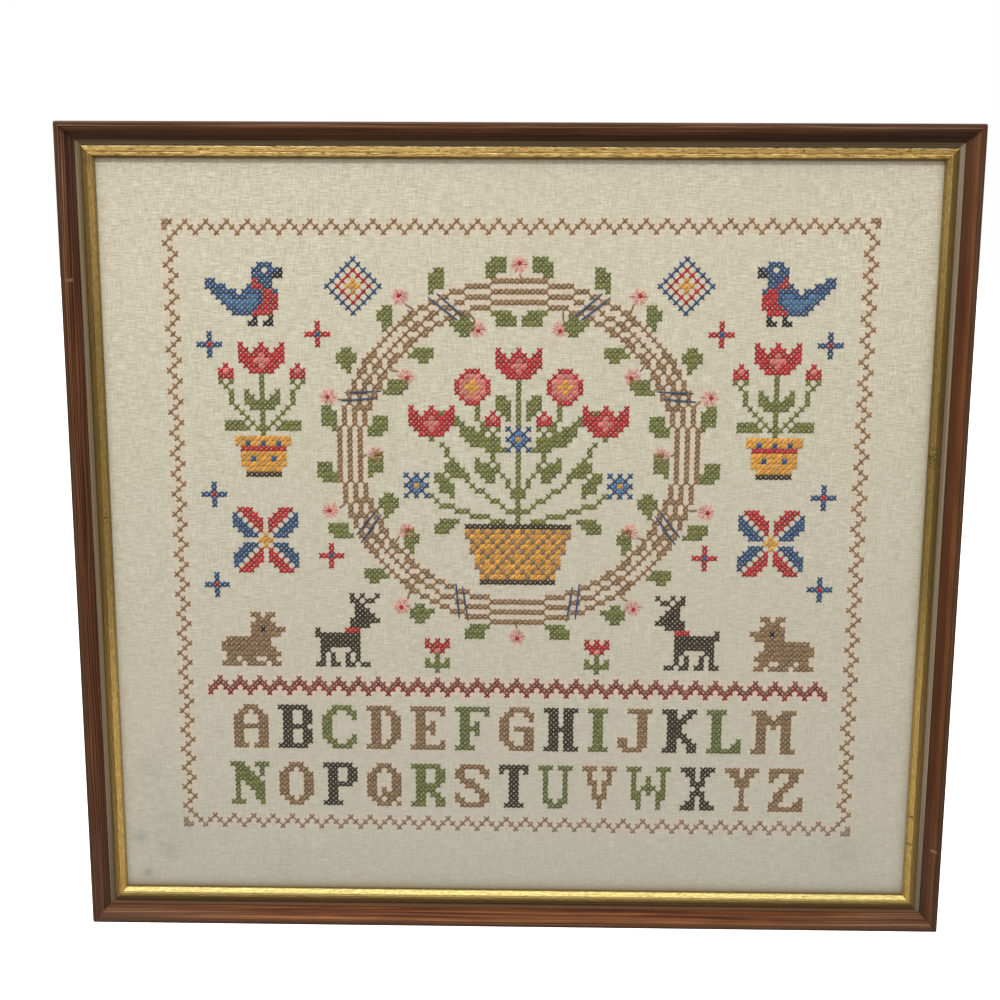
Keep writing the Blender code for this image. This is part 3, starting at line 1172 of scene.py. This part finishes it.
# %% Motifs typed in
BIRD = (
    "..........nnn..../.........nn.nnk../.........nnnnkk../nn.......rnnn..../nnnn....nrrnn..../"
    ".nnnnn.nnnnrrn..../..nuunnnuunrrr.../...nuuuuuunrrr.../....nnuuunrrrr.../.....nnnnrrrr..../"
    ".........k..k..../........kk.kk...."
)
HARE = (
    "......tt.tt../.......ttt.../......ttttt../......ttktttt/......tttttt./.ttttttttt.../"
    "tttttttttt.../ttttttttttt../.ttttttttttt./.tt.ttt..tt../tttt.tttt.tt."
)
STAG = (
    ".......d.d..d./.......dd.dd../........dd..../........ddd.../........dkdd../.......dddddd/"
    ".......dddd.../d.....rrr...../ddddddddd...../.dddddddd...../.dddddddd...../.dd....dd...../"
    ".d.d..d.d...../.d.d..d.d...../dd.dd.dd.dd..."
)
TULIP = "r...r...r/rr.rrr.rr/rrrrwrrrr/rrrwwwrrr/.rrrwrrr./..rrrrr../....g...."
ROSE = "..rrr../.rwwwr./rwwowwr/rwooowr/rwwowwr/.rwwwr./..rrr.."
CORNFLOWER = "n.n.n/.nun./nuoun/.nun./n.n.n"
BUD = ".r./rwr/rrr/g.g/.g."
POT = "ooooooooooo/oonoonoonoo/.rrrrrrrrr./.ooooooooo./.oonooonoo./.ooooooooo./..ooooooo../..ddddddd.."
SMALL_TULIP = "r.r.r/rrrrr/.rwr./..g../g.g.g/ggggg/..g.."


# %% The wreath, the basket and the pots
WREATH_CENTRE = (MIDDLE, 44)
WREATH_RADII = (33, 31)
WREATH_PARTS = 20
blossoms = []
long_stitches = []


def on_wreath(angle, beyond):
    """A place on the wreath, or so many crosses outside or inside its rope."""
    return (
        WREATH_CENTRE[0] + (WREATH_RADII[0] + beyond) * math.cos(angle),
        WREATH_CENTRE[1] + (WREATH_RADII[1] + beyond) * math.sin(angle),
    )


def over_basket(place, angle):
    return abs(place[0] - MIDDLE) < 14 and math.sin(angle) > 0


def wreath():
    """A rope of three lines, with leaves and blossoms on both sides and thread ties."""
    for beyond in (-2, 0, 2):
        ring(WREATH_CENTRE, [radius + beyond for radius in WREATH_RADII], "t")
    for part in range(WREATH_PARTS):
        angle = math.tau * (part + 0.5) / WREATH_PARTS
        lean = 0.9 if math.cos(angle) < 0 else -0.9
        for side in (1, -1):
            place = on_wreath(angle, 3.5 * side)
            if side > 0 or not over_basket(place, angle):
                outwards = angle if side > 0 else angle + math.pi
                leaf(*place, outwards + lean * side, half_width=1.6)
    for part in range(WREATH_PARTS):
        angle = math.tau * part / WREATH_PARTS
        side = 1 if part % 2 else -1
        place = on_wreath(angle, 5.5 * side)
        if side > 0 or not over_basket(place, angle):
            blossoms.append((round(place[0]), round(place[1])))
    for angle in (-1.18, -0.42, 0.42, 1.18):
        for shift in (-0.035, 0.015):
            inner = on_wreath(angle + shift, -3.2)
            outer = on_wreath(angle + shift + 0.1, 3.2)
            long_stitches.append((inner, outer, "n"))
            opposite = [(2 * MIDDLE - across, down) for across, down in (inner, outer)]
            long_stitches.append((*opposite, "n"))


def basket(column, row):
    for down in range(12):
        half = 10 - down // 3
        for across in range(-half, half + 1):
            woven = (across + down) % 4 == 0 or (across - down) % 4 == 0
            thread = "d" if down in (0, 11) else "t" if woven else "o"
            cross(column + across, row + down, thread)


def bouquet(column, row):
    stem([(column, row), (column, row - 26)])
    for side in (-1, 1):
        stem([(column, row - 4), (column + side * 6, row - 14), (column + side * 8, row - 22)])
        stem([(column, row - 1), (column + side * 9, row - 7), (column + side * 15, row - 15)])
        stem([(column + side * 3, row), (column + side * 12, row - 2), (column + side * 18, row - 5)])
        for out, up, turn in ((2, 20, -1.2), (3, 14, -0.5), (8, 15, -0.9), (10, 9, -0.3),
                              (13, 5, -1.0), (5, 8, -0.9), (12, 0, 0.4), (11, 19, -0.4)):
            leaf(column + side * out, row - up, turn if side > 0 else math.pi - turn)
        draw(ROSE, column + side * 9 - 3, row - 29)
        draw(TULIP, column + side * 17 - 4, row - 22)
        draw(CORNFLOWER, column + side * 20 - 2, row - 9)
        draw(BUD, column + side * 5 - 1, row - 21)
    draw(TULIP, column - 4, row - 33)
    draw(CORNFLOWER, column - 2, row - 18)


def potted_tulip(column, row):
    stem([(column, row + 6), (column, row + 18)])
    draw(TULIP, column - 4, row)
    for side in (-1, 1):
        stem([(column, row + 17), (column + side * 5, row + 12), (column + side * 7, row + 8)])
        draw(BUD, column + side * 7 - 1, row + 4)
        leaf(column + side, row + 12, -0.8 if side > 0 else math.pi + 0.8, 4, 1.2)
        leaf(column + side * 3, row + 16, -0.15 if side > 0 else math.pi + 0.15, 5, 1.3)
    draw(POT, column - 5, row + 18)


wreath()
basket(MIDDLE, 58)
bouquet(MIDDLE, 57)
draw_pair(BIRD, 8, 8)
draw_pair(HARE, 9, 76)
draw_pair(STAG, 28, 72)
draw_pair(SMALL_TULIP, 50, 81)
for side in (-1, 1):
    potted_tulip(MIDDLE + 50 * side, 23)
    star(MIDDLE + 50 * side, 61, 6, "n", "r", "o")
    for radius, thread in ((5, "n"), (3, "r"), (1, "o")):
        diamond(MIDDLE + 32 * side, 12, radius, thread, filled=radius == 1)
    for out, row, thread, heart in ((37, 64, "r", "n"), (39, 21, "r", "n"), (60, 23, "n", "r"),
                                    (60, 52, "n", "r"), (60, 70, "n", "r")):
        spark(MIDDLE + out * side, row, thread, heart)
print("the whole chart:", len(chart), "crosses,", len(blossoms), "blossoms")

# %% [markdown]
# ## The linen
# The linen is one flat sheet about half a metre wide, pulled over its board. Real
# stretched linen is never dead flat: the board lets it lie in shallow waves, and
# dense stitching draws it up a little. The sheet is therefore a fine grid whose
# front rises by a few tenths of a millimetre, closed at the back by one flat face.
# The border's corners aren't quite square, because the cloth was pulled unevenly.
# Two numbers are stored on its points for the finish to read: how much of the
# printed guide still shows beside the stitches, and where grey smudges lie.

# %% The cloth's surface
linen_low, linen_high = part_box("linen_panel")
CLOTH_FRONT = linen_low.y
CLOTH_BACK = linen_high.y
SIGHT_RIGHT = FRAME_WIDTH / 2 - SIGHT_INSET
SIGHT_TOP = CENTRE_HEIGHT + FRAME_HEIGHT / 2 - SIGHT_INSET
SIGHT_BOTTOM = CENTRE_HEIGHT - FRAME_HEIGHT / 2 + SIGHT_INSET
WAVE_RISE = 0.00035
WAVE_LEVEL = 0.9
WAVES = (
    # stretch in x and z, place in the noise, share
    ((14.0, 11.0), 1.7, 0.8),
    ((60.0, 55.0), 8.3, 0.35),
)
CORNER_PULLS = (
    # at the right, at the bottom, how far the border's corner was pulled up
    (False, False, -0.0012),
    (True, False, 0.0012),
    (True, True, -0.0011),
    (False, True, 0.0011),
)
LIP_EDGE = 0.002
LIP_FADE = 0.030


def smooth_step(value, low, high):
    t = min(max((value - low) / (high - low), 0.0), 1.0)
    return t * t * (3 - 2 * t)


def cloth_rise(x, z):
    """How far the linen stands forward of its flat plane; nothing under the lip."""
    edge = min(SIGHT_RIGHT - abs(x), z - SIGHT_BOTTOM, SIGHT_TOP - z)
    waves = [share * noise.noise(Vector((x * along, place, z * up)))
             for (along, up), place, share in WAVES]
    return smooth_step(edge, LIP_EDGE, LIP_FADE) * WAVE_RISE * sum(waves, WAVE_LEVEL)


def cell_place(column, row):
    """The middle of a square of the chart, as (x, z), with the pull of the stretching."""
    right = column / (COLUMNS - 1)
    low = row / (ROWS - 1)
    pull = sum(lift * (right if at_right else 1 - right) * (low if at_low else 1 - low)
               for at_right, at_low, lift in CORNER_PULLS)
    return GRID_LEFT + column * CELL_WIDTH, GRID_TOP - row * CELL_HEIGHT + pull


# %% Build the linen sheet
LINEN_STEPS_X = 258
LINEN_STEPS_Z = 236
GUIDE_THREADS = {"b": 0.60, "t": 0.50, "p": 0.60, "w": 0.70, "s": 1.00, "m": 1.00}
CROSS_GUIDE = (0.0015, 0.0040)
BLOSSOM_GUIDE = (0.0025, 0.0070)
BLOSSOM_GUIDE_STRENGTH = 0.9
SMUDGES = (
    # x, z, radius, strength
    (-0.222, -0.440, 0.022, 0.20),
    (-0.245, -0.446, 0.0044, 0.9),
    (-0.240, -0.471, 0.0036, 0.7),
    (-0.225, -0.455, 0.0060, 0.4),
    (-0.236, -0.400, 0.012, 0.28),
    (0.215, -0.452, 0.016, 0.28),
    (0.236, -0.380, 0.010, 0.20),
    (-0.150, -0.463, 0.014, 0.18),
)


def guide_strength(x, z):
    """How near a point lies to stitching whose printed guide shows."""
    column = round((x - GRID_LEFT) / CELL_WIDTH)
    row = round((GRID_TOP - z) / CELL_HEIGHT)
    best = 0.0
    for across in (-1, 0, 1):
        for down in (-1, 0, 1):
            cell = (column + across, row + down)
            shows = GUIDE_THREADS.get(chart.get(cell), 0.0)
            if shows > best:
                away = math.dist((x, z), cell_place(*cell))
                best = max(best, shows * (1.0 - smooth_step(away, *CROSS_GUIDE)))
    for blossom in blossoms:
        away = math.dist((x, z), cell_place(*blossom))
        if away < BLOSSOM_GUIDE[1]:
            best = max(best, BLOSSOM_GUIDE_STRENGTH * (1.0 - smooth_step(away, *BLOSSOM_GUIDE)))
    return best


def smudge_strength(x, z):
    total = sum(strength * math.exp(-(math.dist((x, z), (centre_x, centre_z)) / radius) ** 2)
                for centre_x, centre_z, radius, strength in SMUDGES)
    return min(total, 1.0)


def even_steps(low, high, count):
    return [low + (high - low) * n / count for n in range(count + 1)]


def linen_sheet():
    mesh = bpy.data.meshes.new("linen")
    xs = even_steps(linen_low.x, linen_high.x, LINEN_STEPS_X)
    zs = even_steps(linen_low.z, linen_high.z, LINEN_STEPS_Z)
    wide = len(xs)
    points = [(x, CLOTH_FRONT - cloth_rise(x, z), z) for z in zs for x in xs]
    faces = []
    for row in range(LINEN_STEPS_Z):
        for column in range(LINEN_STEPS_X):
            first = row * wide + column
            faces.append((first, first + 1, first + wide + 1, first + wide))
    rim = list(range(wide))
    rim += [row * wide + wide - 1 for row in range(1, LINEN_STEPS_Z + 1)]
    rim += [LINEN_STEPS_Z * wide + column for column in range(wide - 2, -1, -1)]
    rim += [row * wide for row in range(LINEN_STEPS_Z - 1, 0, -1)]
    back = list(range(len(points), len(points) + len(rim)))
    points += [(points[n][0], CLOTH_BACK, points[n][2]) for n in rim]
    for index in range(len(rim)):
        following = (index + 1) % len(rim)
        faces.append((rim[following], rim[index], back[index], back[following]))
    faces.append(tuple(reversed(back)))
    mesh.from_pydata(points, [], faces)
    uv = mesh.uv_layers.new(name="UVMap")
    flat_places = [points[loop.vertex_index][axis] for loop in mesh.loops for axis in (0, 2)]
    uv.data.foreach_set("uv", flat_places)
    store_numbers(mesh, {
        "guide": [guide_strength(x, z) for x, y, z in points],
        "smudge": [smudge_strength(x, z) for x, y, z in points],
    })
    mesh.shade_smooth()
    face_outwards(mesh)
    mesh.set_sharp_from_angle(angle=SHARP_ANGLE)
    return mesh


linen = new_piece("linen", linen_sheet())
print("linen:", len(linen.data.polygons), "faces")

# %% [markdown]
# ## Linen finish
# Plain weave is one thread over and one under, both ways. The height of the cloth
# is the higher of two sets of threads, each of which dips by a sine wave where it
# passes under. Hand or machine spun linen has slubs, short thick places that show
# as pale and dark dashes along single threads, and these are what the eye sees
# from where the photograph was taken. They stand out more towards the top, where
# the light is flatter. The thread spacing is half a millimetre. A brown painted
# shade, tinted by the gilt's painted reflection, lies along the lip of the slip at
# the sides and the bottom, most of all at the bottom.

# %% Natural linen finish
YARN_PITCH = 0.00052
SLUB_STRETCH = 120.0
LANE_STEP = 7.31
CROWN_RISE = 2.4
OVER_RISE = 0.45
SLUB_RISE = 0.8
YARN_SWAY = 0.0016
PALE_YARN = (0.606, 0.590, 0.494)
DARK_YARN = (0.323, 0.288, 0.199)
YARN_HOLLOW = (0.311, 0.280, 0.195)
YARN_CROWN = (0.471, 0.446, 0.345)
LOW_SHADE = (0.200, 0.222, 0.232)
LIP_SHADE = (0.130, 0.075, 0.010)
GUIDE_INK = (0.640, 0.405, 0.325)
SMUDGE_GREY = (0.150, 0.162, 0.128)
LONG_SLUBS = (
    # stretch across and up, shift, strength
    ((150.0, 1900.0), 0.0, 0.68),
    ((1700.0, 170.0), 4.0, 0.35),
)
WARM_PATCHES = (
    # scale, detail, range of the noise, share at its ends, colour
    (9.0, 4.0, (0.42, 0.68), (0.0, 0.30), (0.430, 0.385, 0.295)),
)


def yarn_set(along, across, seed):
    """Height and slubs of one set of parallel yarns, in one direction."""
    lane = across / YARN_PITCH
    lane_number = maths("FLOOR", lane)
    in_lane = maths("FRACT", lane) - 0.5
    slub = cloudy(joined(along * SLUB_STRETCH, lane_number * LANE_STEP, seed), 1.0, 2.0)
    crown = 0.25 - in_lane * in_lane
    over = maths("SINE", (along / YARN_PITCH + lane_number) * math.pi)
    return crown * CROWN_RISE + over * OVER_RISE + slub * SLUB_RISE, slub


def natural_linen():
    material, shader = new_finish("natural_linen_finish", {
        "Roughness": 0.93,
        "Sheen Weight": 0.15,
        "Specular IOR Level": 0.15,
    })
    tree = material.node_tree
    uv, x, z = place_on_uv(tree)
    bend = (cloudy(uv, 38.0, 2.0) - 0.5) * YARN_SWAY
    bent_x = x + bend
    bent_z = z + bend
    weft, weft_slub = yarn_set(bent_x, bent_z, 1.0)
    warp, warp_slub = yarn_set(bent_z, bent_x, 5.0)
    height = maths("MAXIMUM", weft, warp)
    slubs = weft_slub + warp_slub
    shades = [
        (spread(slubs, 1.02, 1.28, 0.0, 0.50), PALE_YARN),
        (fading(slubs, 0.72, 0.98, 0.45), DARK_YARN),
    ]
    for stretch, shift, share in LONG_SLUBS:
        threads = cloudy(uv, stretch, shift=shift)
        shades.append((spread(threads, 0.53, 0.68, 0.0, share), DARK_YARN))
        shades.append((fading(threads, 0.32, 0.47, share), PALE_YARN))
    cloth = mixed(spread(height, 0.25, 0.95), YARN_HOLLOW, YARN_CROWN)
    clearer = spread(z, -0.46, -0.12, 0.62, 1.14)
    for share, colour in shades:
        cloth = mixed(share * clearer, cloth, colour)
    cloth = clouded(cloth, uv, WARM_PATCHES)
    cloth = mixed(fading(z, -0.47, -0.08, 0.29), cloth, LOW_SHADE)
    # Painted shade along the lip, brown with the gilt's painted reflection
    for lip_gap, reach, depth in (
        # how far from the lip, how far the painted shade reaches, how dark it is
        (x + SIGHT_RIGHT, 0.0022, 0.32),
        (SIGHT_RIGHT - x, 0.0026, 0.38),
        (z - SIGHT_BOTTOM, 0.0028, 0.96),
    ):
        cloth = mixed(maths("EXPONENT", lip_gap / -reach) * depth, cloth, LIP_SHADE)
    guide = add_node(tree, "ShaderNodeAttribute", out="Fac", attribute_name="guide")
    cloth = mixed(guide * 0.60, cloth, GUIDE_INK)
    smudge = add_node(tree, "ShaderNodeAttribute", out="Fac", attribute_name="smudge")
    smudge = smudge * spread(cloudy(uv, 120.0, 4.0), 0.3, 0.7, 0.2, 1.0)
    cloth = mixed(smudge * 0.80, cloth, SMUDGE_GREY)
    dress(shader, {"Base Color": cloth}, height, 0.00010, 0.8)
    return material


linen.data.materials.append(natural_linen())
pieces.append((linen, "natural_linen", ("linen_panel",)))

# %% [markdown]
# ## Geometry Nodes: every stitch is one edge
# A cross is two straight stitches, a blossom is a ring of them and a tie is one
# long one. So all the embroidery can come from one rule. A stitch is drawn as an
# edge between the two holes where the needle passed. The tree turns each edge to
# a short curve, arches it off the cloth, dips its ends through the weave and gives
# it the flattened two-humped section of stranded cotton. Small random slips of
# the needle, with a fixed seed, keep the crosses from looking printed.

# %% The floss tree
FLOSS_SECTION = (
    # across, up, both as shares of the floss's width and thickness
    (-0.50, 0.00),
    (-0.28, 1.00),
    (0.00, 0.74),
    (0.28, 1.00),
    (0.50, 0.00),
)
ARCH_SHAPE = 0.7
OUT_OF_CLOTH = (0.0, -1.0, 0.0)


def vector_maths(operation, first, second=(0.0, 0.0, 0.0), **inputs):
    """One Vector Math node."""
    inputs = {0: first, 1: second, **inputs}
    return add_node(first.tree, "ShaderNodeVectorMath", inputs, operation=operation)


def stitch_tree():
    tree, given = new_geometry_tree("floss_stitches", (
        ("Section", "Object", None),
        ("Floss Width", "Float", 0.001),
        ("Floss Thickness", "Float", 0.0004),
        ("Width Change", "Float", 0.1),
        ("End Dip", "Float", 0.0003),
        ("Points Along", "Int", 5),
        ("Needle Slip", "Float", 0.0001),
        ("Seed", "Int", 0),
        ("Material", "Material", None),
    ))

    # Each stitch has two points, so half the index is the stitch's number.
    half_index = add_node(tree, "GeometryNodeInputIndex") * 0.5
    stitch_number = add_node(tree, "FunctionNodeFloatToInt", {0: half_index}, rounding_mode="FLOOR")
    chance = {"ID": stitch_number, "Seed": given["Seed"]}
    shade = add_node(tree, "FunctionNodeRandomValue", chance, out=1, data_type="FLOAT")
    shaded = store(given["Geometry"], "shade", shade)
    slip = joined(given["Needle Slip"], 0.0, given["Needle Slip"])
    chance = {"Min": vector_maths("SCALE", slip, Scale=-1.0), "Max": slip, "Seed": given["Seed"]}
    offset = add_node(tree, "FunctionNodeRandomValue", chance, data_type="FLOAT_VECTOR")
    slipped = set_points(shaded, Offset=offset)
    curves = add_node(tree, "GeometryNodeMeshToCurve", {"Mesh": slipped})
    steps = {"Curve": curves, "Count": given["Points Along"]}
    spaced = add_node(tree, "GeometryNodeResampleCurve", steps)

    # The stitch arches off the cloth, and its ends dip through the weave.
    share, length = add_node(tree, "GeometryNodeSplineParameter", out=("Factor", "Length"))
    arch = maths("POWER", maths("MAXIMUM", maths("SINE", share * math.pi), 0.0), ARCH_SHAPE)
    dip = given["End Dip"] * named(tree, "strands")
    above = arch * (named(tree, "lift") + dip) - dip
    arched = set_points(spaced, Offset=joined(0.0, above * -1.0, 0.0))
    curve = store(arched, "along", length)
    for label, source in (
        ("tangent", "GeometryNodeInputTangent"),
        ("middle", "GeometryNodeInputPosition"),
    ):
        curve = store(curve, label, add_node(tree, source), kind="FLOAT_VECTOR")

    # The section's points are set out sideways and upwards from the stitch's middle.
    section = add_node(tree, "GeometryNodeObjectInfo", {"Object": given["Section"]}, out="Geometry")
    swept = sweep(curve, add_node(tree, "GeometryNodeMeshToCurve", {"Mesh": section}))
    tangent = named(tree, "tangent", "FLOAT_VECTOR")
    middle = named(tree, "middle", "FLOAT_VECTOR")
    sideways = vector_maths("NORMALIZE", vector_maths("CROSS_PRODUCT", tangent, OUT_OF_CLOTH))
    unevenness = (named(tree, "shade") - 0.5) * given["Width Change"]
    fullness = named(tree, "strands") * (unevenness + 1.0)
    off_middle = named(tree, "across") * (given["Floss Width"] * fullness)
    off_cloth = named(tree, "up") * -1.0 * (given["Floss Thickness"] * fullness)
    across = vector_maths("SCALE", sideways, Scale=off_middle)
    target = vector_maths("ADD", middle, vector_maths("ADD", across, joined(0.0, off_cloth, 0.0)))
    shaped = set_points(swept, Position=target)
    uv = joined(named(tree, "along"), named(tree, "across"))
    bare = store(shaped, "UVMap", uv, kind="FLOAT2", domain="CORNER")
    for label in ("tangent", "middle", "across", "up", "along", "lift", "strands"):
        bare = add_node(tree, "GeometryNodeRemoveAttribute", {"Geometry": bare, "Name": label})
    smooth = add_node(tree, "GeometryNodeSetShadeSmooth", {"Geometry": bare})
    finish_tree(smooth, given["Material"])
    return tree


FLOSS = stitch_tree()
print("floss tree:", len(FLOSS.nodes), "nodes")

# %% [markdown]
# ## Cotton floss
# Stranded cotton has a soft silky sheen, and each strand is twisted, so fine
# slanted lines run across it, darkened by painted shade in the twist's grooves.
# No two stitches are dyed or lit quite alike: the number called shade, one for
# each stitch, makes some paler and some deeper. Painted shade darkens a stitch at
# its sides and where it rises from its first hole. Low on the cloth the thread
# lies in softer light, and the lowest rows are greyer.

# %% Floss finish
LOW_FLOSS_TINT = (0.85, 0.89, 0.95)
GREY_WEIGHTS = (0.3, 0.6, 0.1)
GREY_GAIN = 1.25
TWIST_LINES = 5200.0
TWIST_SLANT = 14.0


def floss_finish(name, colour):
    material, shader = new_finish(f"{name}_floss", {
        "Roughness": 0.62,
        "Sheen Weight": 0.12,
        "Sheen Roughness": 0.4,
        "Specular IOR Level": 0.22,
    })
    tree = material.node_tree

    def darker(share):
        return tuple(share * value for value in colour)

    uv, along, across = place_on_uv(tree)
    twist = maths("SINE", along * TWIST_LINES + across * TWIST_SLANT)
    shade = add_node(tree, "ShaderNodeAttribute", out="Fac", attribute_name="shade")
    pale = tuple(min(1.18 * value + 0.012, 1.0) for value in colour)
    thread = mixed(shade, darker(0.66), pale)
    # Painted shade in the grooves of the twist, at the sides, and where the stitch rises from its hole
    thread = mixed(fading(twist, -1.0, 0.2, 0.35), thread, darker(0.45))
    thread = mixed(spread(abs(across), 0.30, 0.50, 0.0, 0.40), thread, darker(0.35))
    thread = mixed(fading(along, 0.0001, 0.0008, 0.55), thread, darker(0.35))
    height = object_height(tree)
    thread = tinted(fading(height, -0.34, -0.26), thread, LOW_FLOSS_TINT)
    # The lowest rows are mixed towards grey
    grey = GREY_GAIN * sum(weight * value for weight, value in zip(GREY_WEIGHTS, colour))
    thread = mixed(fading(height, -0.440, -0.424, 0.42), thread, (grey, 1.03 * grey, 0.92 * grey))
    dress(shader, {"Base Color": thread}, twist, 0.00004)
    return material


# %% Where each stitch goes
UNDER_LIFT = 0.00005
OVER_LIFT = 0.00040
LONG_LIFT = 0.00095
LONG_STRANDS = 0.72
LONE_STRANDS = 0.90
CROWD_STRANDS = 0.048
BLOSSOM_LIFT = 0.00018
BLOSSOM_STRANDS = 0.32
BLOSSOM_STITCHES = 30
BLOSSOM_RADIUS = 0.0056
BLOSSOM_EDGE = 0.95
HEART_REACH = 0.0018
HEART_SHIFT = 0.0011
HEART_STRANDS = 0.6
STALK_LENGTH = 0.0062
STALK_LEAN = 0.35
STALK_STRANDS = 0.72
RANDOM_SEED = 41

stitches = {letter: [] for letter in THREADS}


def add_stitch(letter, start, end, lift, strands=1.0):
    """One straight stitch from hole to hole, given as (x, z)."""
    stitches[letter].append((start, end, lift, strands))


def around(centre, angle, reach):
    return centre[0] + reach * math.cos(angle), centre[1] + reach * math.sin(angle)


def fullness(column, row):
    """Floss lies thin in a lone cross, and fluffs out to fill the gaps in a crowd."""
    neighbours = ((column + 1, row), (column - 1, row), (column, row + 1), (column, row - 1))
    return LONE_STRANDS + CROWD_STRANDS * sum(place in chart for place in neighbours)


def add_blossom(blossom, chance):
    """A ring of petals, a red heart and a stalk that leads back to the wreath's rope."""
    centre = cell_place(*blossom)
    for petal in range(BLOSSOM_STITCHES):
        angle = math.tau * (petal + chance.uniform(-0.3, 0.3)) / BLOSSOM_STITCHES
        inner = around(centre, angle, BLOSSOM_RADIUS * chance.uniform(0.10, 0.34))
        outer = around(centre, angle, BLOSSOM_RADIUS * chance.uniform(0.82, 1.12))
        add_stitch("p" if petal % 5 else "w", inner, outer, BLOSSOM_LIFT, BLOSSOM_STRANDS)
    middle = cell_place(*WREATH_CENTRE)
    home = math.atan2(middle[1] - centre[1], middle[0] - centre[0])
    if math.dist(blossom, WREATH_CENTRE) < WREATH_RADII[1]:
        home += math.pi
    heart = around(centre, home + math.pi, HEART_SHIFT)
    for turn in range(4):
        angle = math.pi * turn / 4
        reaches = [chance.uniform(0.75, 1.1) * HEART_REACH for end in (0, 1)]
        start = around(heart, angle + math.pi, reaches[0])
        add_stitch("r", start, around(heart, angle, reaches[1]), OVER_LIFT, HEART_STRANDS)
    start = around(centre, home, BLOSSOM_RADIUS * BLOSSOM_EDGE)
    add_stitch("b", start, around(start, home + STALK_LEAN, STALK_LENGTH), OVER_LIFT, STALK_STRANDS)


for (column, row), letter in chart.items():
    x, z = cell_place(column, row)
    left, right = x - CELL_WIDTH / 2, x + CELL_WIDTH / 2
    low, high = z - CELL_HEIGHT / 2, z + CELL_HEIGHT / 2
    strands = fullness(column, row)
    add_stitch(letter, (left, high), (right, low), UNDER_LIFT, strands)
    add_stitch(letter, (left, low), (right, high), OVER_LIFT, strands)
for start, end, letter in long_stitches:
    add_stitch(letter, cell_place(*start), cell_place(*end), LONG_LIFT, LONG_STRANDS)
petal_random = random.Random(RANDOM_SEED)
for blossom in blossoms:
    add_blossom(blossom, petal_random)
print("straight stitches:", sum(len(group) for group in stitches.values()))

# %% Sew them, one piece for each thread
FLOSS_WIDTH = 0.00138
FLOSS_THICKNESS = 0.00042
END_DIP = 0.00032
NEEDLE_SLIP = 0.00017
WIDTH_CHANGE = 0.22

across, up = zip(*FLOSS_SECTION)
section_loop = loop_mesh("floss_section", FLOSS_SECTION, {"across": across, "up": up})
section_object = new_piece("floss_section", section_loop)
thread_pieces = []
for number, (letter, (name, colour)) in enumerate(THREADS.items()):
    points = []
    numbers = {"lift": [], "strands": []}
    for start, end, lift, strands in stitches[letter]:
        for x, z in (start, end):
            points.append((x, CLOTH_FRONT - cloth_rise(x, z), z))
            numbers["lift"].append(lift)
            numbers["strands"].append(strands)
    mesh = bpy.data.meshes.new(f"stitches_{name}")
    mesh.from_pydata(points, [(2 * n, 2 * n + 1) for n in range(len(stitches[letter]))], [])
    store_numbers(mesh, numbers)
    piece = new_piece(f"stitches_{name}", mesh)
    run_tree(piece, FLOSS, {
        "Section": section_object,
        "Floss Width": FLOSS_WIDTH,
        "Floss Thickness": FLOSS_THICKNESS,
        "Width Change": WIDTH_CHANGE,
        "End Dip": END_DIP,
        "Needle Slip": NEEDLE_SLIP,
        "Seed": number,
        "Material": floss_finish(name, colour),
    })
    face_outwards(piece.data)
    thread_pieces.append(piece)
    triangles = sum(len(polygon.vertices) - 2 for polygon in piece.data.polygons)
    print(piece.name, len(stitches[letter]), "stitches,", triangles, "triangles")
bpy.data.objects.remove(section_object)

# %% [markdown]
# ## The back
# The board behind the linen is plain brown hardboard. It never shows from the
# front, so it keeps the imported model's own solid and gets a finish: fine pressed
# fibres and a few darker flecks.

# %% Hardboard finish
BOARD_FIBRES = (
    # height of a fibre, colour
    (0.30, (0.130, 0.075, 0.038)),
    (0.55, (0.245, 0.155, 0.085)),
    (0.75, (0.340, 0.230, 0.135)),
)
BOARD_FLECKS = (
    # stretch, detail, range of the noise, share at its ends, colour
    ((130.0, 130.0, 55.0), 3.0, (0.60, 0.72), (0.0, 0.6), (0.080, 0.046, 0.025)),
)


def hardboard():
    material, shader = new_finish("hardboard_finish", {"Roughness": 0.7})
    place = add_node(material.node_tree, "ShaderNodeTexCoord", out="Object")
    fibres = cloudy(place, 420.0, 5.0, 0.7)
    board = clouded(ramp(fibres, BOARD_FIBRES), place, BOARD_FLECKS)
    dress(shader, {"Base Color": board}, fibres, 0.00015)
    return material


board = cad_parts["backing_board"]
board.data.materials.clear()
board.data.materials.append(hardboard())

# %% [markdown]
# ## The pieces and their body
# Each finished piece, and each thread, hangs from the body that carries it, and the
# imported node it stands for is hidden. The linen is also declared as a sheet,
# with the size it was cut to and the threads that lie on it.

# %% Bodies and hidden nodes
for piece, slot_name, nodes in pieces:
    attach(piece, "root")
    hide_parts(*nodes)
for piece in thread_pieces:
    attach(piece, "root")
